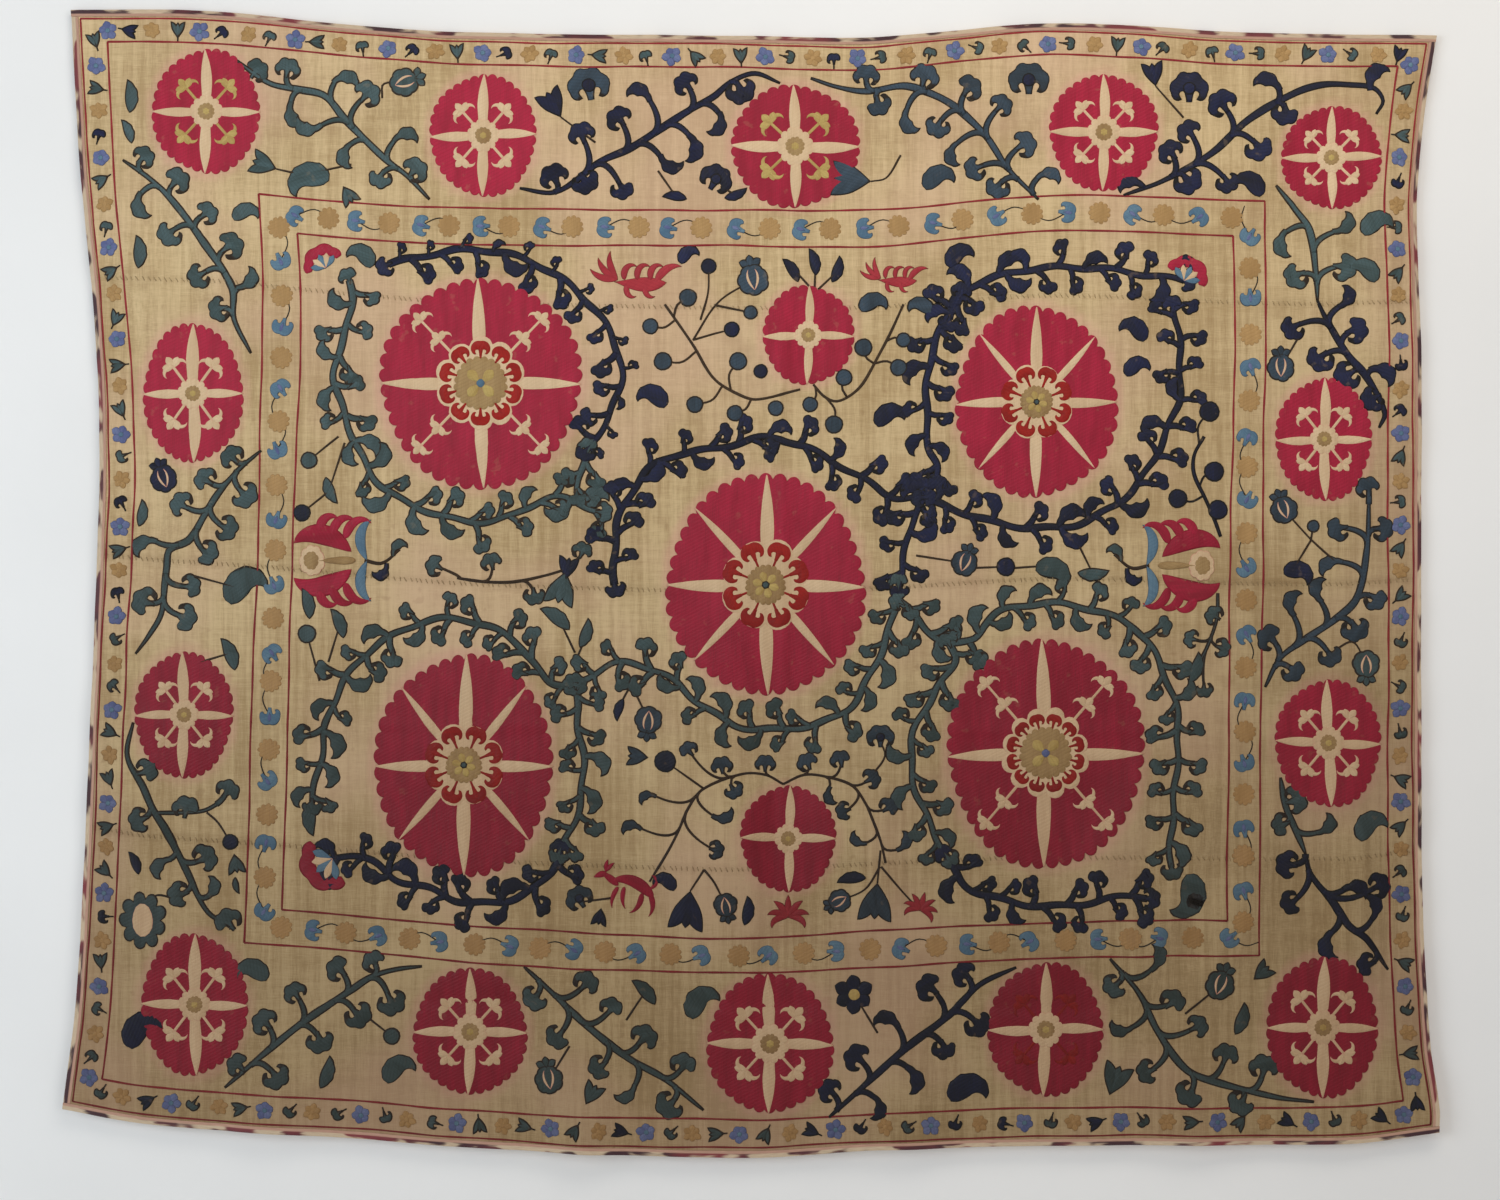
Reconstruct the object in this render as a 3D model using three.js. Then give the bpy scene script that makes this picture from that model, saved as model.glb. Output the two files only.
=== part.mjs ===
// A suzani, an embroidered wall cloth: four loom widths of cotton sewn edge to edge, with a narrow silk
// binding folded round each side of the whole. It hangs flat on a wall by its top edge, a little uneven,
// with the soft folds that old cloth keeps. Millimetres, +Z up, face towards -Y, origin at the middle of
// the top edge.
import * as THREE from "three";

const { lerp, smoothstep } = THREE.MathUtils;

// The cloth as it lies flat, before it is hung.
const CLOTH_WIDTH = 2150;
const CLOTH_HEIGHT = 1770;
const CLOTH_THICKNESS = 1.6;

// How far below the top edge each sewn seam between two loom widths lies.
const SEAMS_BELOW_TOP = [430, 878, 1316];

// The binding's strip, folded in two round the cloth's edge.
const BINDING_REACH = 10;
const BINDING_THICKNESS = 1;

// The clearance between neighbouring pieces, and the size of one facet.
const GAP = 0.3;
const FACET = 55;

// How the hung edges run. A row gives a share of the edge's length, and where the edge is there.
const TOP_EDGE = [
  { share: 0, at: 42 },
  { share: 0.1, at: 40 },
  { share: 0.2, at: 18 },
  { share: 0.28, at: 6 },
  { share: 0.5, at: 0 },
  { share: 0.59, at: -2 },
  { share: 0.72, at: 20 },
  { share: 0.87, at: 5 },
  { share: 1, at: 1 },
];
const BOTTOM_EDGE = [
  { share: 0, at: -1712 },
  { share: 0.06, at: -1735 },
  { share: 0.2, at: -1756 },
  { share: 0.3, at: -1773 },
  { share: 0.5, at: -1789 },
  { share: 0.6, at: -1775 },
  { share: 0.8, at: -1768 },
  { share: 0.94, at: -1766 },
  { share: 1, at: -1749 },
];
const LEFT_EDGE = [
  { share: 0, at: -1088 },
  { share: 0.13, at: -1075 },
  { share: 0.3, at: -1048 },
  { share: 0.42, at: -1042 },
  { share: 0.6, at: -1052 },
  { share: 0.78, at: -1065 },
  { share: 0.9, at: -1077 },
  { share: 1, at: -1098 },
];
const RIGHT_EDGE = [
  { share: 0, at: 1094 },
  { share: 0.06, at: 1077 },
  { share: 0.15, at: 1062 },
  { share: 0.3, at: 1069 },
  { share: 0.6, at: 1068 },
  { share: 0.8, at: 1070 },
  { share: 0.92, at: 1081 },
  { share: 0.98, at: 1095 },
  { share: 1, at: 1094 },
];

// How far the hung cloth stands off the wall: a slight belly in its middle, and a hem that swings free.
const BELLY = 8;
const HEM_STAND_OFF = 12;

// The main folds, each a soft ridge or trough that runs from one place on the face to another.
const FOLDS = [
  { name: "middle trough", from: [45, -900], to: [60, -1640], width: 46, out: -9 },
  { name: "beside the middle", from: [-50, -880], to: [-40, -1640], width: 70, out: 7 },
  { name: "lower right, inner", from: [400, -1620], to: [700, -1060], width: 44, out: 11 },
  { name: "lower right, middle", from: [530, -1660], to: [790, -1090], width: 40, out: 13 },
  { name: "lower right, outer", from: [660, -1660], to: [870, -1130], width: 40, out: 10 },
  { name: "right border", from: [965, -1100], to: [945, -1640], width: 42, out: 12 },
  { name: "right side", from: [1010, 40], to: [1000, -700], width: 48, out: 9 },
  { name: "upper left, inner", from: [-980, -60], to: [-790, -540], width: 44, out: 10 },
  { name: "upper left, outer", from: [-1050, -120], to: [-890, -600], width: 42, out: 8 },
  { name: "left border", from: [-960, -560], to: [-975, -980], width: 46, out: -7 },
  { name: "lower left", from: [-1030, -980], to: [-920, -1560], width: 52, out: 10 },
  { name: "top sag, left", from: [-900, -20], to: [-140, -120], width: 80, out: 7 },
  { name: "top sag, right", from: [100, -60], to: [760, -110], width: 80, out: 6 },
  { name: "hem, far left", from: [-760, -1560], to: [-780, -2000], width: 70, out: 9 },
  { name: "hem, left", from: [-290, -1420], to: [-250, -2040], width: 58, out: 11 },
  { name: "hem, right", from: [250, -1480], to: [230, -2060], width: 64, out: 9 },
  { name: "hem, far right", from: [720, -1560], to: [700, -2060], width: 60, out: 8 },
];

// The share of a fold's length over which it rises at one end and dies away at the other.
const FOLD_TAPER = 0.35;

// The finishes: one cotton colour for each loom width, from the top down, and the silk of the binding.
const COTTON_COLOURS = [0xb3976f, 0xb0946b, 0xac8f66, 0xa3865e];
const COTTON_ROUGHNESS = 0.9;
const SILK_COLOUR = 0x6b2c34;
const SILK_ROUGHNESS = 0.6;

// The four sides of the cloth: where a place so far along the side, and so far in from it, is on the flat
// cloth. On a mirrored side, along, across and up from the face make a left-handed set.
const SIDES = [
  { name: "top", flat: (along, across) => [along, across], mirrored: true },
  { name: "bottom", flat: (along, across) => [along, CLOTH_HEIGHT - across], mirrored: false },
  { name: "left", flat: (along, across) => [across, along], mirrored: false },
  { name: "right", flat: (along, across) => [CLOTH_WIDTH - across, along], mirrored: true },
];

// Reads an edge's table at a share of its length, on a smooth line through the rows.
function readEdge(rows, share) {
  const last = rows.length - 1;
  const found = rows.findIndex((row) => row.share > share);
  const high = found < 0 ? last : Math.max(found, 1);
  const slope = (row) => {
    const before = rows[Math.max(row - 1, 0)];
    const after = rows[Math.min(row + 1, last)];
    return (after.at - before.at) / (after.share - before.share);
  };
  const [from, to] = [rows[high - 1], rows[high]];
  const span = to.share - from.share;
  const k = (share - from.share) / span;
  const eased = k * k * (3 - 2 * k);
  const leave = k * (1 - k) * (1 - k) * span * slope(high - 1);
  const arrive = k * k * (k - 1) * span * slope(high);
  return lerp(from.at, to.at, eased) + leave + arrive;
}

// How far one fold lifts the cloth at a place on the face.
function foldAt(fold, x, z) {
  const [fromX, fromZ] = fold.from;
  const [runX, runZ] = [fold.to[0] - fromX, fold.to[1] - fromZ];
  const length = Math.hypot(runX, runZ);
  const along = ((x - fromX) * runX + (z - fromZ) * runZ) / length ** 2;
  const across = ((x - fromX) * runZ - (z - fromZ) * runX) / length;
  const taper = smoothstep(along, 0, FOLD_TAPER) * smoothstep(1 - along, 0, FOLD_TAPER);
  return fold.out * taper * Math.exp(-((across / fold.width) ** 2));
}

// The whole distance of the cloth from the wall at a place on the face.
function standOff(x, z) {
  const side = x / CLOTH_WIDTH + 0.5;
  const down = -z / CLOTH_HEIGHT;
  const belly = BELLY * Math.sin(Math.PI * side) * Math.sin(Math.PI * down);
  const folds = FOLDS.reduce((sum, fold) => sum + foldAt(fold, x, z), 0);
  return belly + HEM_STAND_OFF * down ** 2 + folds;
}

// Where a place on the flat cloth comes to hang.
function hang(u, v) {
  const [side, down] = [u / CLOTH_WIDTH, v / CLOTH_HEIGHT];
  const x = lerp(readEdge(LEFT_EDGE, down), readEdge(RIGHT_EDGE, down), side);
  const z = lerp(readEdge(TOP_EDGE, side), readEdge(BOTTOM_EDGE, side), down);
  return new THREE.Vector3(x, -standOff(x, z), z);
}

// The same place, raised from the middle of the cloth's thickness towards the face.
function place(u, v, height) {
  const at = hang(u, v);
  const across = hang(u + 1, v).sub(at);
  const down = hang(u, v + 1).sub(at);
  return at.addScaledVector(down.cross(across).normalize(), height);
}

// Even steps from one place to another, none longer than a facet, with both ends.
function steps(from, to) {
  const count = Math.ceil((to - from) / FACET);
  return Array.from({ length: count + 1 }, (_, step) => lerp(from, to, step / count));
}

function closedGeometry(points, faces) {
  const geometry = new THREE.BufferGeometry();
  geometry.setAttribute("position", new THREE.Float32BufferAttribute(points.flatMap((p) => p.toArray()), 3));
  geometry.setIndex(faces.flat());
  geometry.computeVertexNormals();
  return geometry;
}

// A loom width: a face and a back that follow the hung shape, closed by a rim all round.
function panelGeometry(columns, rows) {
  const half = CLOTH_THICKNESS / 2;
  const points = [half, -half].flatMap((height) =>
    rows.flatMap((v) => columns.map((u) => place(u, v, height))));
  const [wide, tall] = [columns.length, rows.length];
  const toBack = wide * tall;
  const at = (row, column) => row * wide + column;
  const faces = [];
  for (let row = 0; row + 1 < tall; row += 1) {
    for (let column = 0; column + 1 < wide; column += 1) {
      const [a, b] = [at(row, column), at(row, column + 1)];
      const [d, c] = [at(row + 1, column), at(row + 1, column + 1)];
      faces.push([a, d, c], [a, c, b]);
      faces.push([a, c, d].map((i) => i + toBack), [a, b, c].map((i) => i + toBack));
    }
  }
  const rim = [
    ...columns.slice(1).map((_, i) => at(0, i)),
    ...rows.slice(1).map((_, i) => at(i, wide - 1)),
    ...columns.slice(1).map((_, i) => at(tall - 1, wide - 1 - i)),
    ...rows.slice(1).map((_, i) => at(tall - 1 - i, 0)),
  ];
  rim.forEach((here, i) => {
    const next = rim[(i + 1) % rim.length];
    faces.push([here, next, next + toBack], [here, next + toBack, here + toBack]);
  });
  return closedGeometry(points, faces);
}

// The binding's section round the cloth's edge: two legs and a nose, counter-clockwise.
function bindingSection() {
  const inner = CLOTH_THICKNESS / 2 + GAP;
  const outer = inner + BINDING_THICKNESS;
  return [
    { across: BINDING_REACH, height: outer },
    { across: -GAP, height: outer },
    { across: -GAP - BINDING_THICKNESS, height: 0 },
    { across: -GAP, height: -outer },
    { across: BINDING_REACH, height: -outer },
    { across: BINDING_REACH, height: -inner },
    { across: -GAP, height: -inner },
    { across: -GAP, height: inner },
    { across: BINDING_REACH, height: inner },
  ];
}

// One side's binding, run through its stations. Each facet is split on the same diagonal as the cloth's
// facet under it, so that the two stay an even distance apart.
function bindingGeometry(side, stations) {
  const section = bindingSection();
  const count = section.length;
  const flats = stations.flatMap((along) => section.map(({ across, height }) => {
    const [u, v] = side.flat(along, across);
    return { u, v, height };
  }));
  const points = flats.map(({ u, v, height }) => place(u, v, height));
  const spread = (i, j) => Math.abs(flats[i].u + flats[i].v - flats[j].u - flats[j].v);
  const faces = [];
  for (let station = 0; station + 1 < stations.length; station += 1) {
    for (let corner = 0; corner < count; corner += 1) {
      const a = station * count + corner;
      const b = station * count + (corner + 1) % count;
      const [c, d] = [b + count, a + count];
      faces.push(...(spread(a, c) >= spread(b, d) ? [[a, b, c], [a, c, d]] : [[a, b, d], [b, c, d]]));
    }
  }
  const outline = section.map(({ across, height }) => new THREE.Vector2(across, height));
  const far = (stations.length - 1) * count;
  for (const [a, b, c] of THREE.ShapeUtils.triangulateShape(outline, [])) {
    faces.push([a, c, b], [a + far, b + far, c + far]);
  }
  return closedGeometry(points, side.mirrored ? faces.map(([a, b, c]) => [a, c, b]) : faces);
}

function clothMesh(name, geometry, color, roughness) {
  const material = new THREE.MeshStandardMaterial({ color, roughness, metalness: 0 });
  const mesh = new THREE.Mesh(geometry, material);
  mesh.name = name;
  return mesh;
}

const suzani = new THREE.Group();
suzani.name = "suzani";

// The facets' lines across and down the cloth, with one under the inner edge of each binding.
const columns = [0, ...steps(BINDING_REACH, CLOTH_WIDTH - BINDING_REACH), CLOTH_WIDTH];
const panelEnds = [0, ...SEAMS_BELOW_TOP, CLOTH_HEIGHT];
const panelRows = panelEnds.slice(1).map((bottom, panel) => {
  const top = panelEnds[panel];
  const isTop = panel === 0;
  const isBottom = panel === panelEnds.length - 2;
  const inside = steps(
    isTop ? BINDING_REACH : top + GAP / 2,
    isBottom ? CLOTH_HEIGHT - BINDING_REACH : bottom - GAP / 2,
  );
  return [...(isTop ? [0] : []), ...inside, ...(isBottom ? [CLOTH_HEIGHT] : [])];
});

panelRows.forEach((rows, panel) => {
  const geometry = panelGeometry(columns, rows);
  suzani.add(clothMesh(`panel_${panel + 1}`, geometry, COTTON_COLOURS[panel], COTTON_ROUGHNESS));
});

// The top and bottom bindings cover the corners, and those at the sides run between them.
const nose = GAP + BINDING_THICKNESS;
const acrossStations = [-nose, ...columns, CLOTH_WIDTH + nose];
const sideEnds = [BINDING_REACH + GAP, CLOTH_HEIGHT - BINDING_REACH - GAP];
const innerRows = panelRows.flat().filter((v) => v > sideEnds[0] && v < sideEnds[1]);
const downStations = [sideEnds[0], ...innerRows, sideEnds[1]];

for (const side of SIDES) {
  const stations = side.name === "top" || side.name === "bottom" ? acrossStations : downStations;
  suzani.add(clothMesh(`binding_${side.name}`, bindingGeometry(side, stations), SILK_COLOUR, SILK_ROUGHNESS));
}

export default suzani;
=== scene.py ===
"""Visual model of an old suzani: four cotton widths, a silk binding and couched silk embroidery.

The layout tables hold millimetres: x to the right of the middle, then the drop below the top edge.
"""
import logging
import math
from dataclasses import dataclass, field
from enum import Enum

import bpy
import numpy as np
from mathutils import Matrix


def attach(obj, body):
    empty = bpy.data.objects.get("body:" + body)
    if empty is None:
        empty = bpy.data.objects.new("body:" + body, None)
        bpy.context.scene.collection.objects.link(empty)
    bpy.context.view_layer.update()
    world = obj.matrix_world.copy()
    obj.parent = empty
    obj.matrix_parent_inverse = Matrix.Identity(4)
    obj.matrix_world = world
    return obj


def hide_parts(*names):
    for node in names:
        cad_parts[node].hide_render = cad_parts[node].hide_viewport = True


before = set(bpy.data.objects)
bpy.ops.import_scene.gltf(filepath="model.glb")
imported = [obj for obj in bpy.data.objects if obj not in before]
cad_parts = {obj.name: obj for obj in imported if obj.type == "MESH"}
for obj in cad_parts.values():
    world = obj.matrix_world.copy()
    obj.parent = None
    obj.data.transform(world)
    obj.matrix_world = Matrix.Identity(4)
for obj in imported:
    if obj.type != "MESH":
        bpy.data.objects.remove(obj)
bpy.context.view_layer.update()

LOG = logging.getLogger("suzani")
MM = 0.001
SEED = 1871
BODY = "root"
# Heights of a shape's edge and hidden underside, against the face.
EMBEDDED = -0.3
SUNK = -0.8
# A ribbon's shoulder: its share of the half-width and of the height.
SHOULDER = 0.72
SHOULDER_HEIGHT = 0.82
# Steps between the stations of lines, and between the rings of a patch.
STEM_STEP = 6.0
VINE_STEP = 2.0
SPRAY_STEP = 5.0
LINE_STEP = 8.0
RING_STEP = 14.0
TONE_SPREAD = 0.16
LIFT_SPREAD = 0.12
COMMA_SHARE = 0.25
FILLER_SCALE = 1.2
CREASE_ANGLE = 50.0
FAR_FROM_SEAM = 99.0
# How far the corners of the field's lines are drawn off a rectangle, clockwise from the top left.
FIELD_CORNERS = (25 + 8j, 14 - 9j, -6 - 10j, 2 - 6j)

Place = tuple[float, float]
Line = np.ndarray
Colour = tuple[float, float, float, float]
Screen = tuple[int, int, int]
Piece = bpy.types.Object
Socket = bpy.types.NodeSocket
Spot = tuple[float, float, float]


def spots(*places: Place) -> Line:
    """Turns places on the face into complex points, x + i z, with z up."""
    return np.array([complex(x, -down) for x, down in places])


def spot(place: Place) -> complex:
    """Turns one place on the face into a complex point."""
    return complex(place[0], -place[1])


def facing(degrees: float) -> complex:
    """Gives the unit direction at an angle turned anticlockwise from +X."""
    return complex(math.cos(math.radians(degrees)), math.sin(math.radians(degrees)))


def ease(value: np.ndarray) -> np.ndarray:
    """Eases a value from 0 to 1 with level ends."""
    share = np.clip(value, 0.0, 1.0)
    return share * share * (3.0 - 2.0 * share)


def linear(red: int, green: int, blue: int) -> Colour:
    """Turns a screen colour from 0 to 255 into linear light.

    Args:
        red: red part.
        green: green part.
        blue: blue part.

    Returns:
        The colour with full alpha.
    """
    parts = []
    for part in (red, green, blue):
        share = part / 255.0
        parts.append(share / 12.92 if share <= 0.04045 else ((share + 0.055) / 1.055) ** 2.4)
    return (parts[0], parts[1], parts[2], 1.0)


def hermite(at: np.ndarray, value: np.ndarray, wanted: np.ndarray) -> np.ndarray:
    """Reads a smooth curve through a table.

    Args:
        at: rising stations of the table.
        value: values at the stations, real or complex.
        wanted: stations to read.

    Returns:
        The values at the wanted stations.
    """
    last = len(at) - 1
    before = np.clip(np.arange(last + 1) - 1, 0, last)
    after = np.clip(np.arange(last + 1) + 1, 0, last)
    slope = (value[after] - value[before]) / (at[after] - at[before])
    low = np.clip(np.searchsorted(at, wanted, side="right") - 1, 0, last - 1)
    span = at[low + 1] - at[low]
    k = (wanted - at[low]) / span
    start = (2 * k**3 - 3 * k**2 + 1) * value[low] + (k**3 - 2 * k**2 + k) * span * slope[low]
    end = (3 * k**2 - 2 * k**3) * value[low + 1] + (k**3 - k**2) * span * slope[low + 1]
    return start + end


def smooth_line(points: Line, step: float) -> Line:
    """Draws a smooth line through a few points, with stations about a step apart."""
    reach = distances(points)
    count = max(4, int(reach[-1] / step) + 1)
    return hermite(reach, points, np.linspace(0.0, reach[-1], count))


def distances(line: Line) -> np.ndarray:
    """Gives the distance along a line to each of its stations."""
    return np.concatenate([[0.0], np.cumsum(np.abs(np.diff(line)))])


def directions(line: Line) -> Line:
    """Gives the unit direction at each station of a line."""
    run = np.gradient(line)
    return run / np.maximum(np.abs(run), 1e-9)


def curled(base: complex, heading: complex, length: float, turn: np.ndarray) -> Line:
    """Gives evenly spaced stations of a line that turns, by radians at each, on its way."""
    steps = np.exp(1j * turn[:-1])
    return base + np.concatenate([[0.0], np.cumsum(steps)]) * heading * length / len(steps)


def store_numbers(mesh: bpy.types.Mesh, name: str, values: np.ndarray) -> None:
    """Stores a number on each point of a mesh."""
    made = mesh.attributes.new(name, "FLOAT", "POINT")
    made.data.foreach_set("value", values.astype(np.float32))


def store_map(mesh: bpy.types.Mesh, name: str, places: Line) -> None:
    """Stores a UV map in metres, from a place in millimetres for each point of a mesh."""
    corner = np.empty(len(mesh.loops), dtype=np.int32)
    mesh.loops.foreach_get("vertex_index", corner)
    laid = places[corner] * MM
    made = mesh.uv_layers.new(name=name)
    made.data.foreach_set("uv", np.stack([laid.real, laid.imag], axis=1).astype(np.float32).ravel())


def flat_grid(name: str, columns: int, rows: int) -> tuple[Piece, np.ndarray]:
    """Adds a square grid.

    Args:
        name: its name.
        columns: cells along X.
        rows: cells along Y.

    Returns:
        The piece, and its points' x, y and z from -1 to 1.
    """
    bpy.ops.object.select_all(action="DESELECT")
    bpy.ops.mesh.primitive_grid_add(x_subdivisions=columns, y_subdivisions=rows, size=2.0)
    piece = bpy.context.object
    piece.name = name
    piece.data.name = name
    flat = np.empty(len(piece.data.vertices) * 3)
    piece.data.vertices.foreach_get("co", flat)
    return piece, flat.reshape(-1, 3)


def thicken(piece: Piece, thickness: float) -> None:
    """Gives a sheet its thickness, half to each side, and smooths it up to the crease angle."""
    solid = piece.modifiers.new("thickness", "SOLIDIFY")
    solid.thickness = thickness * MM
    solid.offset = 0.0
    bpy.ops.object.modifier_apply(modifier=solid.name)
    bpy.ops.object.shade_smooth_by_angle(angle=math.radians(CREASE_ANGLE))


@dataclass(frozen=True)
class Edge:
    """One hung edge of the cloth as a table of share along it and place across it."""

    rows: tuple[Place, ...]

    def read(self, share: np.ndarray) -> np.ndarray:
        """Reads the edge's place at shares along it."""
        table = np.array(self.rows)
        return hermite(table[:, 0], table[:, 1], share)


@dataclass(frozen=True)
class Fold:
    """A soft ridge along a line on the face, or a trough where out is negative."""

    start: Place
    end: Place
    width: float
    out: float

    def lift(self, point: Line) -> np.ndarray:
        """Gives how far the fold stands out at points on the face."""
        run = spot(self.end) - spot(self.start)
        turned = (point - spot(self.start)) / run
        taper = ease(turned.real / 0.35) * ease((1.0 - turned.real) / 0.35)
        across = turned.imag * abs(run)
        return self.out * taper * np.exp(-((across / self.width) ** 2))


@dataclass(frozen=True)
class HungCloth:
    """The cloth as it hangs: flat sizes, hung edges, folds, creases and soft wrinkles."""

    width: float = 2150.0
    height: float = 1770.0
    thickness: float = 1.6
    seams: tuple[float, ...] = (0.0, 430.0, 878.0, 1316.0, 1770.0)
    belly: float = 8.0
    hem_stand_off: float = 12.0
    top: Edge = Edge((
        (0.0, 42.0), (0.1, 40.0), (0.2, 18.0), (0.28, 6.0), (0.5, 0.0), (0.59, -2.0), (0.72, 20.0),
        (0.87, 5.0), (1.0, 1.0),
    ))
    bottom: Edge = Edge((
        (0.0, -1712.0), (0.06, -1735.0), (0.2, -1756.0), (0.3, -1773.0), (0.5, -1789.0), (0.6, -1775.0),
        (0.8, -1768.0), (0.94, -1766.0), (1.0, -1749.0),
    ))
    left: Edge = Edge((
        (0.0, -1088.0), (0.13, -1075.0), (0.3, -1048.0), (0.42, -1042.0), (0.6, -1052.0), (0.78, -1065.0),
        (0.9, -1077.0), (1.0, -1098.0),
    ))
    right: Edge = Edge((
        (0.0, 1094.0), (0.06, 1077.0), (0.15, 1062.0), (0.3, 1069.0), (0.6, 1068.0), (0.8, 1070.0),
        (0.92, 1081.0), (0.98, 1095.0), (1.0, 1094.0),
    ))
    folds: tuple[Fold, ...] = (
        Fold((45, 900), (60, 1640), 46, -9),
        Fold((-50, 880), (-40, 1640), 70, 7),
        Fold((400, 1620), (700, 1060), 44, 11),
        Fold((530, 1660), (790, 1090), 40, 13),
        Fold((660, 1660), (870, 1130), 40, 10),
        Fold((965, 1100), (945, 1640), 42, 12),
        Fold((1010, -40), (1000, 700), 48, 9),
        Fold((-980, 60), (-790, 540), 44, 10),
        Fold((-1050, 120), (-890, 600), 42, 8),
        Fold((-960, 560), (-975, 980), 46, -7),
        Fold((-1030, 980), (-920, 1560), 52, 10),
        Fold((-900, 20), (-140, 120), 80, 7),
        Fold((100, 60), (760, 110), 80, 6),
        Fold((-760, 1560), (-780, 2000), 70, 9),
        Fold((-290, 1420), (-250, 2040), 58, 11),
        Fold((250, 1480), (230, 2060), 64, 9),
        Fold((720, 1560), (700, 2060), 60, 8),
    )
    creases: tuple[Fold, ...] = (
        Fold((45, -300), (52, 2100), 11, 1.6),
        Fold((-1500, 1092), (1500, 1118), 10, 1.4),
        Fold((-1500, 1530), (1400, 1560), 11, -1.5),
        Fold((-1400, 655), (1500, 640), 12, 1.1),
        Fold((-530, -300), (-545, 2100), 13, -1.2),
        Fold((610, -300), (622, 2100), 12, 1.2),
        Fold((820, 1180), (1030, 1330), 14, 2.2),
        Fold((-1010, 640), (-700, 720), 14, 1.8),
        Fold((760, 300), (1040, 210), 16, 2.0),
        Fold((-420, 1480), (-80, 1560), 15, 1.8),
    )
    wrinkles: tuple[tuple[float, float, float, float], ...] = (
        (0.031, 0.012, 0.4, 0.7), (0.047, -0.021, 2.1, 0.5), (0.018, 0.043, 4.0, 0.6),
        (0.083, 0.030, 1.2, 0.25), (-0.024, 0.091, 3.3, 0.25),
    )

    def on_wall(self, along: np.ndarray, drop: np.ndarray) -> Line:
        """Turns flat places, measured along and down the cloth, into hung points."""
        s = np.asarray(along, float) / self.width
        t = np.asarray(drop, float) / self.height
        left = self.left.read(t)
        top = self.top.read(s)
        x = left + (self.right.read(t) - left) * s
        z = top + (self.bottom.read(s) - top) * t
        return x + 1j * z

    def stand_off(self, point: Line) -> np.ndarray:
        """Gives how far the middle of the cloth stands out from the wall at hung points."""
        across = np.sin(math.pi * (point.real / self.width + 0.5))
        drop = -point.imag / self.height
        total = self.belly * across * np.sin(math.pi * drop) + self.hem_stand_off * drop**2
        for fold in self.folds + self.creases:
            total = total + fold.lift(point)
        for along, down, phase, out in self.wrinkles:
            total = total + out * np.sin(along * point.real + down * point.imag + phase)
        return total

    def raised(self, point: Line, height: np.ndarray) -> np.ndarray:
        """Gives places in metres at heights above the middle of the cloth.

        Args:
            point: hung points.
            height: heights towards the viewer.

        Returns:
            An array of x, y and z rows.
        """
        out = self.stand_off(point) + height
        return np.stack([point.real, -out, point.imag], axis=1) * MM


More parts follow.
